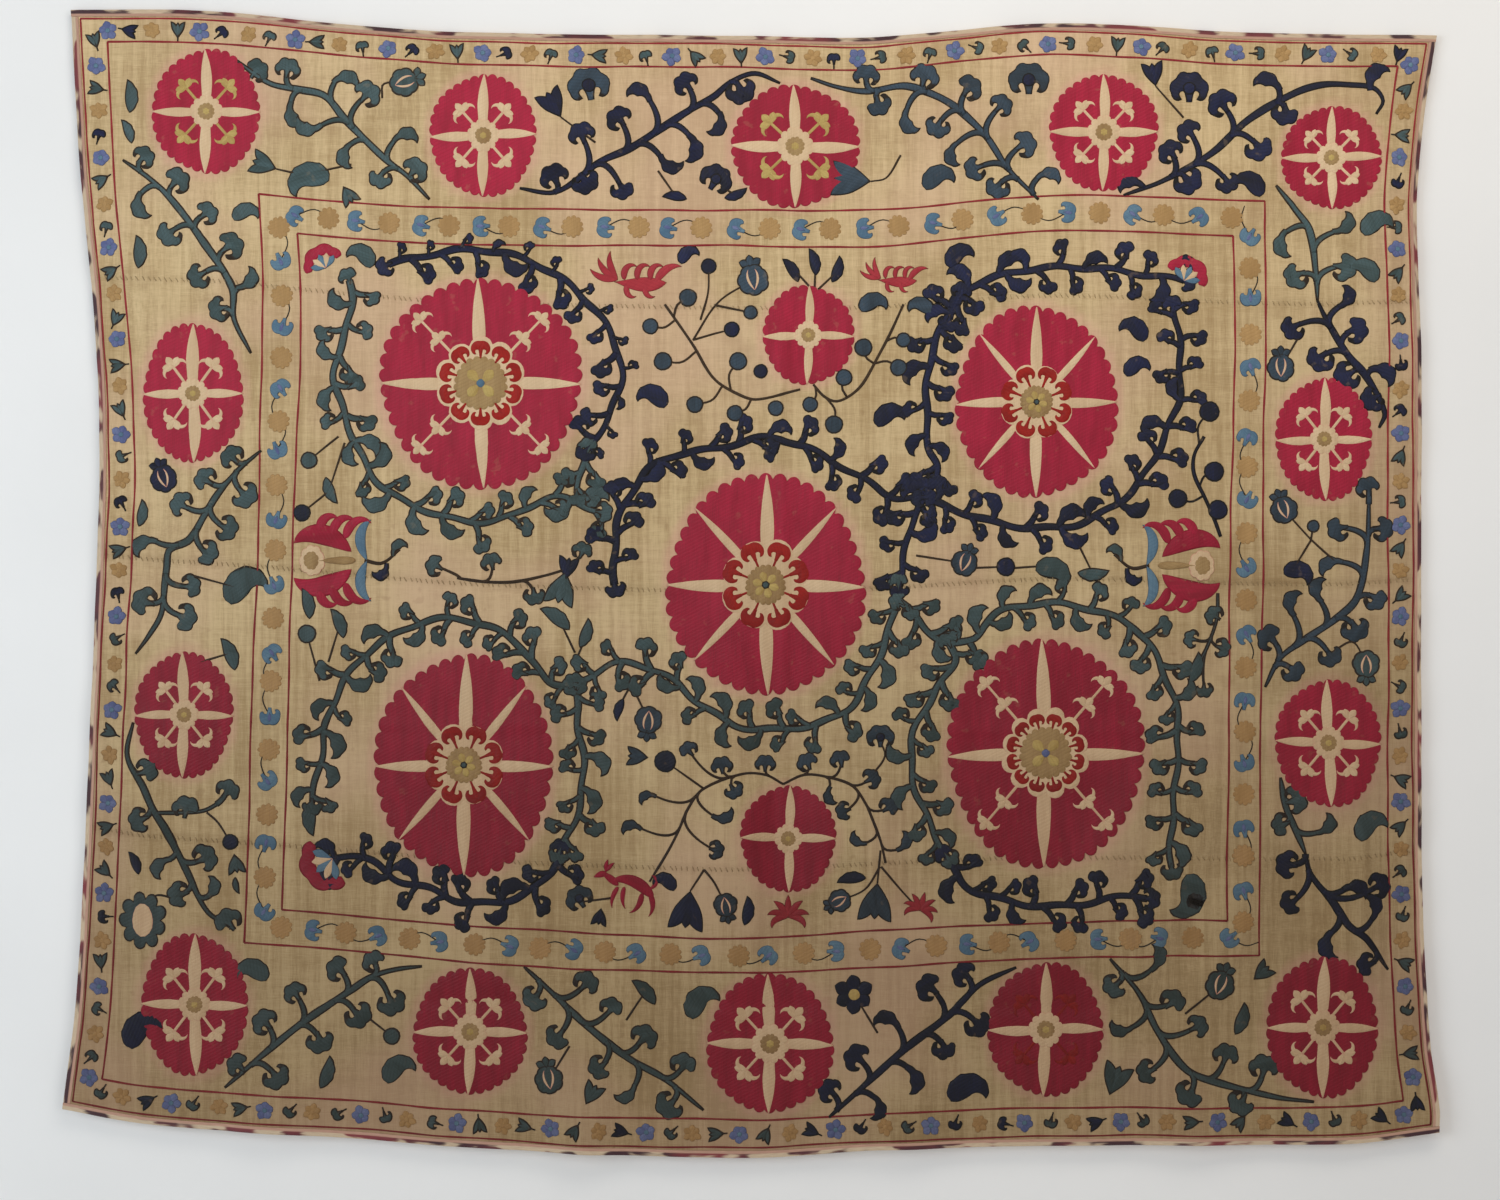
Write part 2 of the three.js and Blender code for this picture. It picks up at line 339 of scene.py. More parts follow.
@dataclass
class Shader:
    """Builds one node material, where a value is a number, a colour or another node's output."""

    name: str
    material: bpy.types.Material = field(init=False)

    def __post_init__(self) -> None:
        """Makes the material with an empty tree."""
        self.material = bpy.data.materials.new(self.name)
        self.material.use_nodes = True
        self.material.node_tree.nodes.clear()

    def node(
        self, kind: str, settings: dict[str, object], inputs: dict[object, object],
    ) -> bpy.types.Node:
        """Adds a node.

        Args:
            kind: the shader node's type name, without its prefix.
            settings: properties of the node.
            inputs: values or outputs by socket name or index.

        Returns:
            The node.
        """
        tree = self.material.node_tree
        made = tree.nodes.new("ShaderNode" + kind)
        for name, value in settings.items():
            setattr(made, name, value)
        for key, value in inputs.items():
            if isinstance(value, Socket):
                tree.links.new(value, made.inputs[key])
            else:
                made.inputs[key].default_value = value
        return made

    def where(self) -> Socket:
        """Gives the object's own coordinates, in metres."""
        return self.node("TexCoord", {}, {}).outputs["Object"]

    def uv(self, name: str) -> Socket:
        """Gives a UV map of the piece."""
        return self.node("UVMap", {"uv_map": name}, {}).outputs["UV"]

    def value_of(self, name: str) -> Socket:
        """Gives a number stored on the piece's points."""
        return self.node("Attribute", {"attribute_name": name}, {}).outputs["Fac"]

    def stretched(self, vector: object, scale: Spot, turn: float = 0.0) -> Socket:
        """Scales a vector after turning it about its third axis."""
        inputs = {"Vector": vector, "Rotation": (0.0, 0.0, turn), "Scale": scale}
        return self.node("Mapping", {}, inputs).outputs["Vector"]

    def noise(self, vector: object, scale: float, detail: float = 3.0) -> Socket:
        """Gives smooth noise from about 0 to 1."""
        inputs = {"Vector": vector, "Scale": scale, "Detail": detail}
        return self.node("TexNoise", {}, inputs).outputs["Fac"]

    def waves(self, vector: object, period: float, wander: float) -> Socket:
        """Gives bands across the vector's second axis, a period in metres apart."""
        inputs = {
            "Vector": vector, "Scale": math.pi / (10.0 * period), "Distortion": wander,
            "Detail Scale": 0.6,
        }
        settings = {"wave_type": "BANDS", "bands_direction": "Y"}
        return self.node("TexWave", settings, inputs).outputs["Fac"]

    def sum(self, first: object, second: object, kind: str = "ADD") -> Socket:
        """Joins two numbers."""
        return self.node("Math", {"operation": kind}, {0: first, 1: second}).outputs[0]

    def ramp(
        self, value: object, low: float, high: float, start: float = 0.0, end: float = 1.0,
    ) -> Socket:
        """Eases a number from start to end while it goes from low to high."""
        inputs = {"Value": value, "From Min": low, "From Max": high, "To Min": start, "To Max": end}
        settings = {"interpolation_type": "SMOOTHSTEP"}
        return self.node("MapRange", settings, inputs).outputs["Result"]

    def mix(self, share: object, first: object, second: object, kind: str = "MIX") -> Socket:
        """Mixes two colours."""
        settings = {"data_type": "RGBA", "blend_type": kind}
        return self.node("Mix", settings, {0: share, 6: first, 7: second}).outputs[2]

    def bump(self, height: object, strength: float, distance: float) -> Socket:
        """Turns heights into a normal."""
        inputs = {"Height": height, "Strength": strength, "Distance": distance}
        return self.node("Bump", {}, inputs).outputs["Normal"]

    def finish(self, inputs: dict[object, object]) -> bpy.types.Material:
        """Closes the tree with a Principled shader."""
        surface = self.node("BsdfPrincipled", {}, inputs)
        self.node("OutputMaterial", {}, {"Surface": surface.outputs[0]})
        return self.material


@dataclass(frozen=True)
class CottonFinish:
    """Hand-woven cotton, aged to a brownish cream."""

    light: Colour = linear(212, 186, 142)
    dark: Colour = linear(170, 142, 100)
    stain: Colour = linear(152, 120, 82)
    rose: Colour = linear(210, 172, 146)
    # Colour multiplied in where the cloth is darkened: along the seams, towards the bottom and towards
    # the right.
    darkening: Colour = linear(160, 150, 138)
    bled: Colour = linear(214, 156, 142)
    thread: float = 0.0011

    def material(self, tint: float) -> bpy.types.Material:
        """Makes the cloth's material.

        Args:
            tint: how far this loom width leans to the darker colour.

        Returns:
            The material.
        """
        shader = Shader("cotton")
        where = shader.where()
        warp = shader.noise(shader.stretched(where, (0.06, 1.0, 1.0)), 1.0 / self.thread, 2.0)
        weft = shader.noise(shader.stretched(where, (1.0, 1.0, 0.05)), 1.0 / self.thread, 2.0)
        slub = shader.noise(shader.stretched(where, (0.03, 1.0, 1.0)), 140.0)
        bars = shader.noise(shader.stretched(where, (1.0, 1.0, 0.03)), 130.0)
        cloud = shader.noise(where, 5.0, 5.0)
        patch = shader.noise(where, 17.0, 4.0)
        weave = shader.sum(shader.sum(warp, weft), 0.5, "MULTIPLY")
        streaks = shader.sum(shader.sum(slub, 0.3, "MULTIPLY"), shader.sum(bars, 0.8, "MULTIPLY"))
        tone = shader.sum(streaks, shader.sum(cloud, weave))
        share = shader.ramp(tone, 1.18, 1.92, 0.02 + tint, 0.98 + tint)
        colour = shader.mix(share, self.light, self.dark)
        colour = shader.mix(shader.ramp(patch, 0.56, 0.8, 0.0, 0.4), colour, self.stain)
        specks = shader.ramp(shader.noise(where, 46.0, 2.0), 0.68, 0.78, 0.0, 0.35)
        colour = shader.mix(specks, colour, self.stain)
        flushed = shader.ramp(shader.noise(where, 3.1), 0.45, 0.65, 0.0, 0.45)
        colour = shader.mix(flushed, colour, self.rose)
        colour = shader.mix(shader.value_of("dye"), colour, self.bled)
        # Darkens the colour by the stored darkening number: along the seams, towards the bottom and
        # towards the right.
        darkened = shader.ramp(shader.value_of("darkening"), 0.0, 1.2, 0.0, 0.66)
        colour = shader.mix(darkened, colour, self.darkening, "MULTIPLY")
        height = shader.sum(weave, shader.sum(slub, 0.6, "MULTIPLY"))
        return shader.finish({
            "Base Color": colour,
            "Roughness": shader.ramp(weave, 0.3, 0.7, 0.82, 0.95),
            "Specular IOR Level": 0.2,
            "Sheen Weight": 0.15,
            "Sheen Roughness": 0.6,
            "Normal": shader.bump(height, 0.55, 0.0006),
        })


@dataclass(frozen=True)
class BindingFinish:
    """Narrow warp-patterned silk: feathered dark dashes on cream, with a rose edge."""

    dash: Colour = linear(62, 24, 32)
    deep: Colour = linear(128, 44, 50)
    cream: Colour = linear(206, 182, 152)
    rose: Colour = linear(190, 146, 124)

    def material(self) -> bpy.types.Material:
        """Makes the binding's material, which reads its own strip map in metres."""
        shader = Shader("silk_binding")
        strip = shader.uv("strip")
        apart = shader.node("SeparateXYZ", {}, {"Vector": strip})
        feather = shader.noise(shader.stretched(strip, (60.0, 1500.0, 1.0)), 1.0, 2.0)
        along = shader.noise(shader.stretched(strip, (13.0, 40.0, 1.0)), 1.0, 2.0)
        dashes = shader.ramp(shader.sum(along, shader.sum(feather, 0.16, "MULTIPLY")), 0.53, 0.6)
        kind = shader.ramp(shader.noise(shader.stretched(strip, (5.0, 20.0, 1.0)), 1.0), 0.45, 0.6)
        ink = shader.mix(kind, self.dash, self.deep)
        colour = shader.mix(dashes, ink, self.cream)
        inner = shader.ramp(apart.outputs["Y"], 0.0045, 0.0065)
        colour = shader.mix(inner, colour, self.rose)
        ribs = shader.waves(strip, 0.0007, 0.4)
        colour = shader.mix(shader.ramp(feather, 0.3, 0.8, 0.0, 0.3), colour, self.dash, "MULTIPLY")
        return shader.finish({
            "Base Color": colour,
            "Roughness": shader.ramp(ribs, 0.0, 1.0, 0.5, 0.68),
            "Sheen Weight": 0.2,
            "Sheen Roughness": 0.4,
            "Normal": shader.bump(shader.sum(ribs, feather), 0.4, 0.0003),
        })


@dataclass(frozen=True)
class SilkFinish:
    """One dyed silk thread, laid in close strands and tied down with slanting stitches."""

    name: str
    light: Screen
    dark: Screen
    outline: Screen
    outline_width: float = 0.0
    strand: float = 0.0013
    worn: float = 0.0
    roughness: float = 0.5
    bare: Screen = (176, 146, 108)
    # Colour multiplied in towards the bottom of the cloth: fully at the lowest height in metres, not at
    # all above the highest.
    darkening: Screen = (150, 124, 104)
    darkened: float = 0.72
    lowest: float = -1.45
    highest: float = -0.35

    def material(self) -> bpy.types.Material:
        """Makes the thread's material, which reads the laid map and the rim and tone numbers."""
        shader = Shader("silk_" + self.name)
        light, dark, outline = linear(*self.light), linear(*self.dark), linear(*self.outline)
        laid = shader.uv("laid")
        streak = shader.noise(shader.stretched(laid, (35.0, 800.0, 1.0)), 1.0, 3.0)
        broad = shader.noise(shader.stretched(laid, (12.0, 60.0, 1.0)), 1.0, 2.0)
        strands = shader.waves(laid, self.strand, 1.2)
        ties = shader.waves(shader.stretched(laid, (1.0, 1.0, 1.0), 1.1), 0.0052, 1.5)
        fine = shader.noise(laid, 900.0, 2.0)
        tone = shader.sum(shader.value_of("tone"), shader.sum(streak, broad))
        colour = shader.mix(shader.ramp(tone, 0.55, 1.5), dark, light)
        # Painted shade: darker in the low lines of the strand and tie bands, the grooves that the bump
        # sinks.
        colour = shader.mix(shader.ramp(strands, 0.0, 0.5, 0.35, 0.0), colour, dark)
        colour = shader.mix(shader.ramp(ties, 0.0, 0.22, 0.4, 0.0), colour, dark)
        if self.outline_width > 0.0:
            edge = shader.sum(shader.value_of("rim"), shader.sum(fine, 0.9, "MULTIPLY"))
            inside = shader.ramp(edge, self.outline_width - 0.1, self.outline_width + 0.9)
            colour = shader.mix(inside, outline, colour)
        if self.worn > 0.0:
            bare = shader.ramp(shader.noise(shader.where(), 60.0, 4.0), 0.64, 0.72, 0.0, self.worn)
            colour = shader.mix(bare, colour, linear(*self.bare))
        # Darker towards the bottom of the cloth, by height.
        height_up = shader.node("SeparateXYZ", {}, {"Vector": shader.where()}).outputs["Z"]
        darker_below = shader.ramp(height_up, self.lowest, self.highest, self.darkened, 0.0)
        colour = shader.mix(darker_below, colour, linear(*self.darkening), "MULTIPLY")
        height = shader.sum(strands, shader.sum(ties, shader.sum(streak, 0.7, "MULTIPLY")))
        return shader.finish({
            "Base Color": colour,
            "Roughness": shader.ramp(streak, 0.3, 0.7, self.roughness - 0.06, self.roughness + 0.12),
            "Specular IOR Level": 0.25,
            "Sheen Weight": 0.05,
            "Sheen Roughness": 0.45,
            "Normal": shader.bump(height, 0.5, 0.0004),
        })


class Thread(Enum):
    """The dyed threads that the embroidery uses."""

    CRIMSON = SilkFinish("crimson", (186, 32, 66), (144, 20, 44), (124, 16, 36), worn=0.12)
    SCARLET = SilkFinish("scarlet", (176, 30, 18), (138, 18, 12), (110, 20, 16), 0.6)
    CORAL = SilkFinish("coral", (182, 54, 64), (148, 36, 46), (124, 50, 40), 1.2)
    LINE = SilkFinish("red_line", (168, 46, 52), (130, 32, 38), (120, 30, 34), strand=0.0008)
    IVORY = SilkFinish("ivory", (228, 200, 162), (206, 174, 136), (222, 164, 142), 1.1, darkened=0.5)
    GOLD = SilkFinish("gold", (176, 146, 98), (144, 112, 70), (150, 116, 72), 0.8, darkened=0.5)
    TAN = SilkFinish("tan", (188, 150, 98), (160, 124, 76), (170, 134, 86), 1.0, darkened=0.5)
    YELLOW = SilkFinish("yellow", (202, 178, 108), (170, 140, 80), (156, 122, 72), 0.6, darkened=0.5)
    NAVY = SilkFinish("navy", (32, 38, 76), (18, 18, 30), (16, 11, 9), 2.8, worn=0.14)
    GREEN = SilkFinish("green", (80, 102, 106), (52, 66, 64), (44, 32, 20), 3.0, worn=0.12)
    SLATE = SilkFinish("slate", (64, 82, 98), (38, 48, 56), (34, 26, 18), 2.8, worn=0.12)
    BROWN = SilkFinish("brown", (72, 52, 30), (46, 32, 18), (36, 26, 16), 0.8)
    SKY = SilkFinish("sky", (108, 138, 156), (74, 104, 128), (72, 88, 104), 1.2, darkened=0.5)
    VIOLET = SilkFinish("violet", (118, 128, 164), (82, 90, 134), (66, 66, 98), 1.0, darkened=0.5)
    TACKING = SilkFinish("tacking", (190, 166, 122), (150, 126, 88), (140, 116, 80), darkened=0.5)


(
    CRIMSON, SCARLET, CORAL, LINE, IVORY, GOLD, TAN, YELLOW,
    NAVY, GREEN, SLATE, BROWN, SKY, VIOLET, TACKING,
) = Thread


@dataclass
class Skein:
    """Shapes worked in one thread, gathered as arrays and joined into one mesh."""

    thread: Thread
    rng: np.random.Generator
    points: list[np.ndarray] = field(default_factory=list)
    heights: list[np.ndarray] = field(default_factory=list)
    rims: list[np.ndarray] = field(default_factory=list)
    tones: list[np.ndarray] = field(default_factory=list)
    laid: list[np.ndarray] = field(default_factory=list)
    faces: list[tuple[int, ...]] = field(default_factory=list)
    count: int = 0

    def keep(
        self, points: Line, heights: np.ndarray, rims: np.ndarray, laid: Line, faces: np.ndarray,
    ) -> None:
        """Adds one shape's points and faces.

        Args:
            points: hung points.
            heights: heights above the face.
            rims: distances in from the shape's outline.
            laid: strand coordinates as complex numbers.
            faces: rows of point indices.
        """
        tone = self.rng.uniform(-TONE_SPREAD, TONE_SPREAD)
        lift = self.rng.uniform(0.0, LIFT_SPREAD)
        self.points.append(points)
        self.heights.append(np.where(heights > 0.0, heights + lift, heights))
        self.rims.append(rims)
        self.tones.append(np.full(len(points), tone))
        self.laid.append(laid)
        self.faces.extend(tuple(row) for row in (faces + self.count).tolist())
        self.count += len(points)

    def ribbon(
        self, spine: Line, left: np.ndarray, right: np.ndarray, height: float, lay: complex | None = None,
    ) -> None:
        """Works a closed band of thread along a spine.

        Args:
            spine: stations of the band.
            left: half-widths on the left of the way along.
            right: half-widths on the right.
            height: how far the band stands above the face.
            lay: direction of the strands, along the band where it is None.
        """
        side = 1j * directions(spine)
        shares = np.array([1.0, SHOULDER, 0.0, -SHOULDER, -1.0])
        half = np.where(shares[None, :] >= 0.0, left[:, None], right[:, None])
        points = spine[:, None] + side[:, None] * half * shares[None, :]
        rims = (1.0 - np.abs(shares))[None, :] * half
        rims[:, 2] = np.minimum(left, right)
        shoulder = SHOULDER_HEIGHT * height
        heights = np.tile([EMBEDDED, shoulder, height, shoulder, EMBEDDED], (len(spine), 1))
        if lay is None:
            laid = distances(spine)[:, None] + 1j * half * shares[None, :]
        else:
            laid = points * lay.conjugate()
        wide = len(shares)
        start = np.arange(len(spine) - 1)[:, None] * wide
        here = np.arange(wide)[None, :]
        there = (here + 1) % wide
        corners = (start + here, start + there, start + wide + there, start + wide + here)
        first = self.count
        last = first + (len(spine) - 1) * wide
        quads = np.stack(corners, axis=2).reshape(-1, 4)
        self.keep(points.ravel(), heights.ravel(), rims.ravel(), laid.ravel(), quads)
        self.faces.append(tuple(range(first + wide - 1, first - 1, -1)))
        self.faces.append(tuple(range(last, last + wide)))

    def patch(
        self, centre: complex, outline: Line, height: float, lay: complex = 1j, ring: float = RING_STEP,
    ) -> None:
        """Works a closed patch that can be seen whole from its centre.

        Args:
            centre: a point inside.
            outline: points round it, anticlockwise.
            height: how far the patch stands above the face.
            lay: direction of the strands.
            ring: widest step between rings of points.
        """
        radius = float(np.abs(outline - centre).mean())
        rim = 1.0 - min(1.3, 0.3 * radius) / radius
        inner = np.linspace(0.0, rim, max(1, math.ceil(radius / ring)) + 1)[1:]
        under = inner[-2::-2]
        shares = np.concatenate([inner, [0.5 + 0.5 * rim, 1.0], under])
        rim_lifts = [0.8 * height, EMBEDDED]
        lifts = np.concatenate([np.full(len(inner), height), rim_lifts, np.full(len(under), SUNK)])
        around = len(outline)
        arms = outline - centre
        points = np.concatenate([[centre, centre], (centre + shares[:, None] * arms[None, :]).ravel()])
        heights = np.concatenate([[height, SUNK], np.repeat(lifts, around)])
        inwards = (1.0 - shares)[:, None] * np.abs(arms)[None, :]
        rims = np.concatenate([[radius, radius], inwards.ravel()])
        here = np.arange(around)
        there = (here + 1) % around
        rows = [2 + k * around for k in range(len(shares))]
        quads = []
        for a, b in zip(rows[:-1], rows[1:]):
            quads.append(np.stack([a + here, b + here, b + there, a + there], axis=1))
        first = self.count
        self.keep(points, heights, rims, points * lay.conjugate(), np.concatenate(quads))
        for middle, row, i, j in ((0, rows[0], here, there), (1, rows[-1], there, here)):
            for m, n in zip((first + row + i).tolist(), (first + row + j).tolist()):
                self.faces.append((first + middle, m, n))

    def build(self, cloth: HungCloth) -> Piece | None:
        """Joins the shapes into one piece that lies on the hung cloth.

        Args:
            cloth: the hung cloth.

        Returns:
            The piece, or None where the thread isn't used.
        """
        if not self.points:
            return None
        mesh = bpy.data.meshes.new("thread_" + self.thread.value.name)
        heights = np.concatenate(self.heights) + 0.5 * cloth.thickness
        mesh.from_pydata(cloth.raised(np.concatenate(self.points), heights).tolist(), [], self.faces)
        for name, rows in (("rim", self.rims), ("tone", self.tones)):
            store_numbers(mesh, name, np.concatenate(rows))
        store_map(mesh, "laid", np.concatenate(self.laid))
        mesh.polygons.foreach_set("use_smooth", np.ones(len(mesh.polygons), dtype=bool))
        piece = bpy.data.objects.new(mesh.name, mesh)
        bpy.context.collection.objects.link(piece)
        mesh.materials.append(self.thread.value.material())
        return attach(piece, BODY)


@dataclass
class Needle:
    """Works the motifs that the cloth repeats, shape by shape, into one skein per thread."""

    cloth: HungCloth
    rng: np.random.Generator = field(default_factory=lambda: np.random.default_rng(SEED))
    skeins: dict[Thread, Skein] = field(default_factory=dict)

    def __post_init__(self) -> None:
        """Makes an empty skein for each thread."""
        self.skeins = {thread: Skein(thread, self.rng) for thread in Thread}

    def any(self, low: float, high: float) -> float:
        """Draws a seeded number between two bounds."""
        return float(self.rng.uniform(low, high))

    def stem(self, thread: Thread, points: Line, start: float, end: float, height: float = 0.9,
             swell: float = 0.0) -> None:
        """Works a stem whose half-width goes from start to end.

        Args:
            thread: the thread.
            points: a few points along it.
            start: half-width where it starts.
            end: half-width where it ends.
            height: how far it stands above the face.
            swell: extra half-width in its middle.
        """
        spine = smooth_line(points, STEM_STEP)
        share = np.linspace(0.0, 1.0, len(spine))
        half = start + (end - start) * share + swell * np.sin(math.pi * share) ** 0.7
        half = np.maximum(half * (1.0 + 0.07 * np.sin(share * len(spine) * 0.45)), 0.7)
        self.skeins[thread].ribbon(spine, half, half, height)

    def petal(self, thread: Thread, base: complex, heading: complex, length: float, width: float,
              curl: float = 0.0, full: float = 0.6, scallops: int = 0, height: float = 1.0) -> complex:
        """Works one petal, blade or paisley.

        Args:
            thread: the thread.
            base: where it starts.
            heading: the way it starts.
            length: its length along the middle.
            width: its greatest width.
            curl: degrees that it turns by its tip, anticlockwise where positive.
            full: share along it where it is widest.
            scallops: small lobes along its outer edge.
            height: how far it stands above the face.

        Returns:
            The tip.
        """
        count = 12 if length < 30.0 else 20
        share = np.linspace(0.0, 1.0, count)
        spine = curled(base, heading, length, math.radians(curl) * share**1.6)
        power = math.log(0.5) / math.log(full)
        half = 0.5 * width * np.sin(math.pi * share**power) ** 0.75
        half = np.maximum(half, 0.35)
        lobes = 0.07 * width * np.abs(np.sin(math.pi * scallops * share)) if scallops else 0.0 * share
        lobes = lobes * np.sin(math.pi * share)
        outer = half + lobes
        left, right = (half, outer) if curl >= 0.0 else (outer, half)
        lay = heading * facing(self.any(20.0, 70.0))
        self.skeins[thread].ribbon(spine, left, right, height, lay)
        return complex(spine[-1])

    def fan_leaf(self, thread: Thread, base: complex, heading: complex, width: float, left: float = 140.0,
                 right: float = 140.0, scallops: int = 5, height: float = 1.05) -> None:
        """Works an umbrella leaf whose ends curl back as hooks.

        Args:
            thread: the thread.
            base: where the stalk comes in.
            heading: the way the leaf faces.
            width: its width over the hooks.
            left: degrees that its left hook reaches round.
            right: degrees that its right hook reaches round.
            scallops: small lobes along its outer edge.
            height: how far it stands above the face.
        """
        turn = np.linspace(-right, left, 30)
        share = np.abs(turn) / np.where(turn < 0.0, right, left)
        radius = 0.31 * width * (1.0 - 0.3 * ease((np.abs(turn) - 65.0) / 80.0))
        spine = base + heading * radius * np.exp(1j * np.radians(turn))
        lobes = 0.1 * width * np.abs(np.sin(np.radians(turn) * scallops * 0.6)) * (1.0 - share)
        outer = 0.19 * width * np.sqrt(np.clip(1.0 - share**3.0, 0.0, 1.0)) + lobes
        inner = 0.93 * radius * ease((100.0 - np.abs(turn)) / 70.0)
        inner = inner + 0.07 * width * np.sqrt(np.clip(1.0 - share**2.0, 0.0, 1.0))
        inner = np.minimum(inner, 0.95 * radius)
        lay = heading * facing(self.any(30.0, 150.0))
        self.skeins[thread].ribbon(spine, np.maximum(inner, 0.5), np.maximum(outer, 0.6), height, lay)
        neck = base + heading * width * np.linspace(-0.2, 0.34, 7)
        flare = width * (0.08 + 0.19 * np.linspace(0.0, 1.0, 7) ** 1.6)
        self.skeins[thread].ribbon(neck, flare, flare, 0.97 * height, lay)

    def comma(
        self, thread: Thread, base: complex, heading: complex, size: float, curl: float,
        height: float = 1.0,
    ) -> None:
        """Works a comma leaf: a neck, a full scalloped body and a tip that curls back.

        Args:
            thread: the thread.
            base: where the neck starts.
            heading: the way the neck starts.
            size: about its width.
            curl: degrees that it turns by its tip, anticlockwise where positive.
            height: how far it stands above the face.
        """
        share = np.linspace(0.0, 1.0, 22)
        spine = curled(base, heading, 1.35 * size, math.radians(curl) * share**1.5)
        stations = np.array([0.0, 0.22, 0.52, 0.8, 1.0])
        half = size * hermite(stations, np.array([0.14, 0.16, 0.31, 0.17, 0.02]), share)
        lobes = 0.07 * size * np.abs(np.sin(4.0 * math.pi * share)) * np.sin(math.pi * share)
        left, right = (half, half + lobes) if curl >= 0.0 else (half + lobes, half)
        self.skeins[thread].ribbon(spine, left, right, height, heading * facing(self.any(20.0, 70.0)))

    def disc(self, thread: Thread, centre: complex, radius: float, height: float, scallops: int = 0,
             depth: float = 0.12, tall: float = 1.0, ring: float = RING_STEP) -> None:
        """Works a round patch with an even or scalloped edge.

        Args:
            thread: the thread.
            centre: its middle.
            radius: its half-width.
            height: how far it stands above the face.
            scallops: lobes round it.
            depth: how deep the notches between lobes are, as a share of the radius.
            tall: its height over its width.
            ring: widest step between rings of points.
        """
        count = max(14, scallops * 7)
        angle = np.arange(count) * 2.0 * math.pi / count
        phase = self.any(0.0, 6.0)
        reach = 1.0 + 0.018 * np.sin(3.0 * angle + phase) + 0.012 * np.sin(5.0 * angle - phase)
        if scallops:
            reach = reach * (1.0 - depth + depth * np.abs(np.sin(0.5 * scallops * angle)) ** 0.65)
        outline = centre + radius * reach * (np.cos(angle) + 1j * tall * np.sin(angle))
        self.skeins[thread].patch(centre, outline, height, 1j, ring)

    def flower(
        self, petals: Thread, heart: Thread, centre: complex, radius: float, count: int, start: float,
    ) -> None:
        """Works a small round flower: petals, then a heart."""
        for step in range(count):
            heading = facing(start + 360.0 * step / count)
            width = 1.5 * radius * math.sin(math.pi / count) + 1.0
            length = radius * self.any(0.86, 1.12)
            self.petal(petals, centre, heading, length, width, self.any(-25.0, 25.0), 0.62)
        self.disc(heart, centre, 0.3 * radius, 1.35)

    def tulip(self, thread: Thread, base: complex, heading: complex, length: float) -> None:
        """Works a bell with a three-pointed mouth."""
        for curl, share in ((34.0, 1.0), (-34.0, 1.0), (0.0, 0.86)):
            aim = heading * facing(0.35 * curl)
            self.petal(thread, base, aim, length * share, 0.4 * length, curl, 0.55)

    def pomegranate(self, thread: Thread, centre: complex, heading: complex, radius: float) -> None:
        """Works a round fruit with a leafy crown and a pale eye."""
        self.disc(thread, centre, radius, 1.0, 7, 0.08)
        crown = centre + heading * radius * 0.7
        for turn in (-42.0, 0.0, 42.0):
            self.petal(thread, crown, heading * facing(turn), 0.85 * radius, 0.6 * radius, 0.8 * turn)
        for turn in (-1.0, 1.0):
            base = centre - heading * radius * 0.62
            aim = heading * facing(32.0 * turn)
            self.petal(IVORY, base, aim, 1.35 * radius, 0.2 * radius, -64.0 * turn, 0.5, height=1.4)

    def hooked_leaf(
        self, thread: Thread, root: complex, growth: complex, side: float, size: float,
    ) -> None:
        """Works one comma leaf of a field vine on its short neck.

        Args:
            thread: the thread.
            root: where it leaves the stem.
            growth: the way the stem grows there.
            side: 1 for the left of the stem and -1 for the right.
            size: its width.
        """
        out = growth * facing(side * self.any(60.0, 92.0))
        way = side if self.rng.random() < 0.25 else -side
        if self.rng.random() < COMMA_SHARE:
            self.comma(thread, root, out, size, way * self.any(135.0, 160.0))
            return
        bend = root + (0.12 * growth + 0.3 * out) * size
        head = root + (0.12 * growth + 0.66 * out) * size
        hooks = (self.any(128.0, 152.0), self.any(34.0, 70.0))
        left, right = hooks if way > 0.0 else hooks[::-1]
        self.stem(thread, np.array([root, bend, head]), 0.15 * size, 0.12 * size)
        self.fan_leaf(thread, head, out * facing(way * self.any(5.0, 40.0)), 0.96 * size, left, right, 6)

    def stalked_head(
        self, thread: Thread, stalk: Thread, stem: Line, head: complex, width: float, half: float,
    ) -> None:
        """Works an umbrella leaf at a spot, with a stalk that leaves the stem further back.

        Args:
            thread: the leaf's thread.
            stalk: the stalk's thread.
            stem: stations of the stem, root first.
            head: the leaf's middle.
            width: the leaf's width.
            half: half-width of the stalk.
        """
        near = int(np.argmin(np.abs(stem - head)))
        gap = abs(stem[near] - head)
        back = max(0, near - int(0.55 * gap / max(abs(stem[1] - stem[0]), 1.0)))
        growth = directions(stem)[back]
        root = stem[back]
        bend = root + growth * gap * 0.45
        end = head - (head - bend) / max(abs(head - bend), 1e-6) * width * 0.2
        share = np.linspace(0.0, 1.0, 6)
        curve = (1 - share) ** 2 * root + 2 * share * (1 - share) * bend + share**2 * end
        self.stem(stalk, curve, 1.15 * half, half, 0.92)
        heading = (end - bend) / max(abs(end - bend), 1e-6)
        side = 1.0 if ((head - root) / growth).imag > 0.0 else -1.0
        left, right = (self.any(122, 152), self.any(70, 125))
        if side < 0.0:
            left, right = right, left
        heading = heading * facing(side * self.any(-12.0, 18.0))
        if self.rng.random() < COMMA_SHARE:
            turn = 1.0 if self.rng.random() < 0.5 else -1.0
            base = end - heading * 0.12 * width
            self.comma(thread, base, heading, 0.82 * width, turn * self.any(130.0, 155.0))
        else:
            self.fan_leaf(thread, end, heading, width, left, right, 6)


